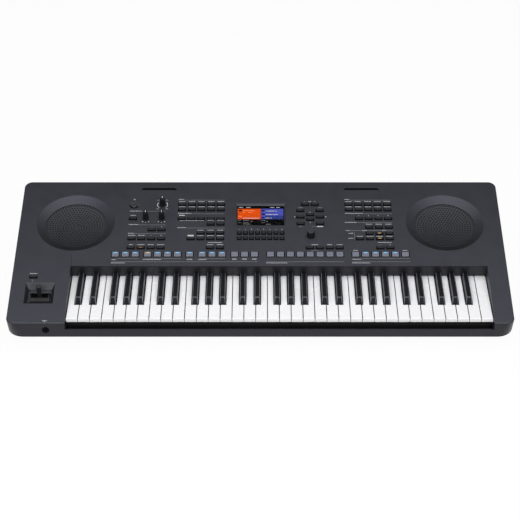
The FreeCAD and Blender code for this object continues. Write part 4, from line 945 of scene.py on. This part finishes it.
# %% Screen bars
screen_low = -4.88
screen_seat = 0.02
screen_layer = 0.03
letter_least = 0.55
letter_spread = 0.3
letter_turn = 2.7


def screen_bars(name, finish, layer, bars):
    """Thin bars on the screen; each is left, right, bottom, top in panel millimetres."""
    shape = bmesh.new()
    low = screen_low - screen_seat
    high = screen_low + screen_layer * (layer + 1)
    for x0, x1, s0, s1 in bars:
        slab(shape, (x0 + x1) / 2.0, (s0 + s1) / 2.0, x1 - x0, s1 - s0, low, high)
    piece(name, shape, to_panel, finish, "case")


def words(x0, x1, s, height, letters):
    """Bars of uneven length, spaced like the letters of a word."""
    step = (x1 - x0) / letters
    bars = []
    for index in range(letters):
        start = x0 + step * index
        length = step * (letter_least + letter_spread * abs(math.sin(index * letter_turn + s)))
        bars.append((start, start + length, s - height / 2.0, s + height / 2.0))
    return bars


def screen_words(name, finish, layer, rows):
    """Several rows of such bars; each row is left, right, middle, height and number of bars."""
    screen_bars(name, finish, layer, [bar for row in rows for bar in words(*row)])


screen_bars("screen_orange", screen_orange, 0, [(-47.3, 1.0, 293.2, 324.4)])
screen_bars("screen_blue", screen_blue, 0, [(1.7, 48.4, 293.2, 324.4)])
screen_bars("screen_violet", screen_violet, 1, [(1.7, 10.2, 293.2, 324.4), (10.8, 48.4, 304.0, 324.4)])
screen_bars("screen_boxes", screen_black, 2, [
    (-45.2, -38.4, 316.6, 320.9), (3.0, 8.8, 316.8, 320.6), (3.0, 9.4, 306.2, 309.8),
    (3.0, 8.8, 296.0, 299.6),
])
screen_words("screen_peach", screen_peach, 1, [
    (-36.6, -11.4, 318.7, 2.6, 9), (-36.0, -31.8, 313.1, 1.8, 2), (-25.0, -16.0, 313.1, 1.8, 4),
    (-46.0, -38.4, 301.4, 3.2, 3),
])
screen_words("screen_words", screen_white, 3, [
    (-36.3, -2.4, 296.3, 2.0, 13), (11.2, 35.2, 317.4, 1.8, 10), (11.2, 37.0, 307.2, 1.9, 10),
    (11.5, 24.6, 296.6, 1.9, 5), (-45.0, -35.4, 328.4, 1.5, 4), (-29.8, -20.0, 328.4, 1.5, 4),
    (20.8, 30.6, 328.4, 1.5, 4), (33.8, 41.6, 328.4, 1.5, 3),
])
screen_words("screen_low_words", screen_dim, 1, [
    (-46.4, -39.6, 290.2, 1.4, 3), (-35.8, -24.0, 289.4, 1.8, 5), (-20.0, -16.0, 287.0, 1.8, 2),
    (-46.2, -38.5, 282.9, 1.4, 3), (-35.8, -24.0, 283.2, 1.8, 5), (-35.8, -20.0, 279.2, 1.8, 6),
    (1.8, 10.8, 289.4, 1.6, 4), (12.2, 16.4, 286.6, 1.8, 2), (1.8, 10.2, 283.3, 1.4, 4),
    (11.5, 23.2, 278.5, 1.8, 5),
])

# %% [markdown]
# ## Pointers on the knobs
# A white line on the top of each knob shows where it points. It is a thin bar that runs over the
# top and a short way down the side, so it can be read from the front as well as from above.

# %% Pointer lines
pointer_width = 1.15
pointer_reach = 0.9
pointer_sink = 0.3
pointer_rise = 0.15
side_size = (pointer_width, 0.5, 5.0, 1.0)
side_drop = 3.4
side_lead = 3.0
for body, x, s, low_radius, high_radius, height in (
    ("volume_knob", volume_x, volume_s, 6.6, 4.7, 20.0),
    ("control_knob_1", control_knobs[0], control_s, 6.5, 4.6, 19.5),
    ("control_knob_2", control_knobs[1], control_s, 6.5, 4.6, 19.5),
):
    line = bmesh.new()
    middle_s = s + high_radius / 2.0
    length = high_radius * pointer_reach
    slab(line, x, middle_s, pointer_width, length, height - pointer_sink, height + pointer_rise)
    fall = (low_radius - high_radius) / height
    spot = Matrix.Translation((x, s + high_radius + fall * side_lead, height - side_drop))
    lean = spot @ Matrix.Rotation(math.atan(fall), 4, "X")
    bmesh.ops.create_cube(line, size=1.0, matrix=lean @ Matrix.Diagonal(side_size))
    piece(body + "_pointer", line, to_panel, ink_pale, body)

# %% [markdown]
# ## Sockets
# The sockets have rims where a plug goes in: bright ones at the back and a dark one in front. The
# wall above the rear ones carries small printed dashes. A rim could be a torus, but real ones are
# flat: two circles are bridged to a band, which is then pulled out to its depth.

# %% Rims round the sockets
rim_sides = 40
to_upright = Matrix.Rotation(math.radians(90.0), 4, "X")


def rim_ring(shape, place, outer, inner, depth, facing):
    """A flat ring about a socket's mouth, facing the front or the back."""
    spot = Matrix.Translation(place) @ to_upright
    for radius in (outer, inner):
        bmesh.ops.create_circle(shape, cap_ends=False, radius=radius, segments=rim_sides, matrix=spot)
    loop = [edge for edge in shape.edges if not edge.link_faces]
    band = bmesh.ops.bridge_loops(shape, edges=loop)["faces"]
    raised = bmesh.ops.extrude_face_region(shape, geom=band)["geom"]
    moved = [item for item in raised if isinstance(item, bmesh.types.BMVert)]
    bmesh.ops.translate(shape, verts=moved, vec=(0.0, facing * depth, 0.0))


to_metres = Matrix.Scale(mm, 4)
headphone_place = (-423.7, -197.4, 41.4)
front_ring = bmesh.new()
rim_ring(front_ring, headphone_place, 6.9, 3.5, 0.5, -1.0)
piece("headphone_rim", front_ring, to_metres, black_trim_and_painted_shade, "case")
back_y = 195.0
socket_z = 48.0
rim_depth = 0.4
rear_rings = bmesh.new()
for x, outer, inner in (
    (-325.0, 5.4, 3.5), (-297.0, 5.4, 3.5), (-230.0, 5.4, 3.5), (-202.0, 5.4, 3.5),
    (-262.0, 3.4, 2.0), (-95.0, 5.4, 3.1),
):
    rim_ring(rear_rings, (x, back_y, socket_z), outer, inner, rim_depth, 1.0)
piece("rear_rims", rear_rings, to_metres, steel_bright, "case")

# %% Dashes above the rear sockets
name_z = 58.0
name_height = 2.4
name_y = 0.1955
rear_names = bmesh.new()
for x, width in (
    (-325.0, 16.0), (-297.0, 14.0), (-262.0, 14.0), (-230.0, 8.0), (-202.0, 8.0), (-165.0, 12.0),
    (-132.0, 14.0), (-95.0, 13.0),
):
    dashes(rear_names, x, name_z, width, name_height)
on_wall = Matrix.Translation((0.0, name_y, 0.0)) @ to_upright @ to_metres
piece("rear_names", rear_names, on_wall, ink_light, "case")

# %% [markdown]
# ## Floor, light and camera
# The floor is a wide pale sheet. The camera and reflections see it almost as white paper, and it
# still takes a faint shadow of the case. One broad soft light hangs over the keyboard, and another
# stands high in front. The camera looks at the keyboard from the photograph's own angle.

# %% The floor
floor_reach = 12.0
paper_glow = 0.95
paper = bpy.data.materials.new("floor_paper")
paper.use_nodes = True
tree = paper.node_tree
shader = tree.nodes["Principled BSDF"]
shader.inputs["Base Color"].default_value = (0.9, 0.9, 0.9, 1.0)
shader.inputs["Roughness"].default_value = 0.9
shader.inputs["Specular IOR Level"].default_value = 0.0
white = tree.nodes.new("ShaderNodeEmission")
white.inputs["Color"].default_value = (1.0, 1.0, 1.0, 1.0)
seen = tree.nodes.new("ShaderNodeLightPath")
plain = sum_of(tree, "MAXIMUM", seen.outputs["Is Camera Ray"], seen.outputs["Is Glossy Ray"])
plain = sum_of(tree, "MAXIMUM", plain, seen.outputs["Is Transmission Ray"])
mix = tree.nodes.new("ShaderNodeMixShader")
tree.links.new(sum_of(tree, "MULTIPLY", plain, paper_glow), mix.inputs["Fac"])
tree.links.new(shader.outputs["BSDF"], mix.inputs[1])
tree.links.new(white.outputs["Emission"], mix.inputs[2])
tree.links.new(mix.outputs["Shader"], tree.nodes["Material Output"].inputs["Surface"])
floor_shape = bmesh.new()
bmesh.ops.create_grid(floor_shape, x_segments=1, y_segments=1, size=floor_reach)
floor_mesh = bpy.data.meshes.new("floor")
floor_shape.to_mesh(floor_mesh)
floor_shape.free()
floor_mesh.materials.append(paper)
floor = bpy.data.objects.new("floor", floor_mesh)
scene.collection.objects.link(floor)
print("floor laid,", 2.0 * floor_reach, "m wide")

# %% Lights
def soft_light(name, place, aim, width, height, power):
    """A broad lamp at a place, turned to a point."""
    data = bpy.data.lights.new(name, "AREA")
    data.shape = "RECTANGLE"
    data.size = width
    data.size_y = height
    data.energy = power
    made = bpy.data.objects.new(name, data)
    made.location = place
    made.rotation_euler = (Vector(aim) - Vector(place)).to_track_quat("-Z", "Y").to_euler()
    scene.collection.objects.link(made)


soft_light("overhead_light", (0.0, -0.3, 1.9), (0.0, -0.2999, 0.0), 3.0, 2.0, 27.0)
soft_light("front_light", (0.0, -2.3, 1.65), (0.0, 0.0, 0.05), 2.6, 1.2, 52.0)
world = bpy.data.worlds.new("studio")
scene.world = world
world.use_nodes = True
sky = world.node_tree.nodes["Background"]
sky.inputs["Color"].default_value = (1.0, 1.0, 1.0, 1.0)
sky.inputs["Strength"].default_value = 0.2
print("two lamps and a pale room")

# %% Camera
eye = bpy.data.cameras.new("camera")
eye.lens = 112.64
eye.sensor_width = 36.0
eye.shift_x = -0.00048
eye.clip_end = 60.0
camera = bpy.data.objects.new("camera", eye)
camera.location = (0.0, -2.73337, 2.01625)
camera.rotation_euler = (math.radians(54.55), 0.0, 0.0)
scene.collection.objects.link(camera)
scene.camera = camera
scene.view_settings.view_transform = "Standard"
print("camera at", tuple(camera.location))
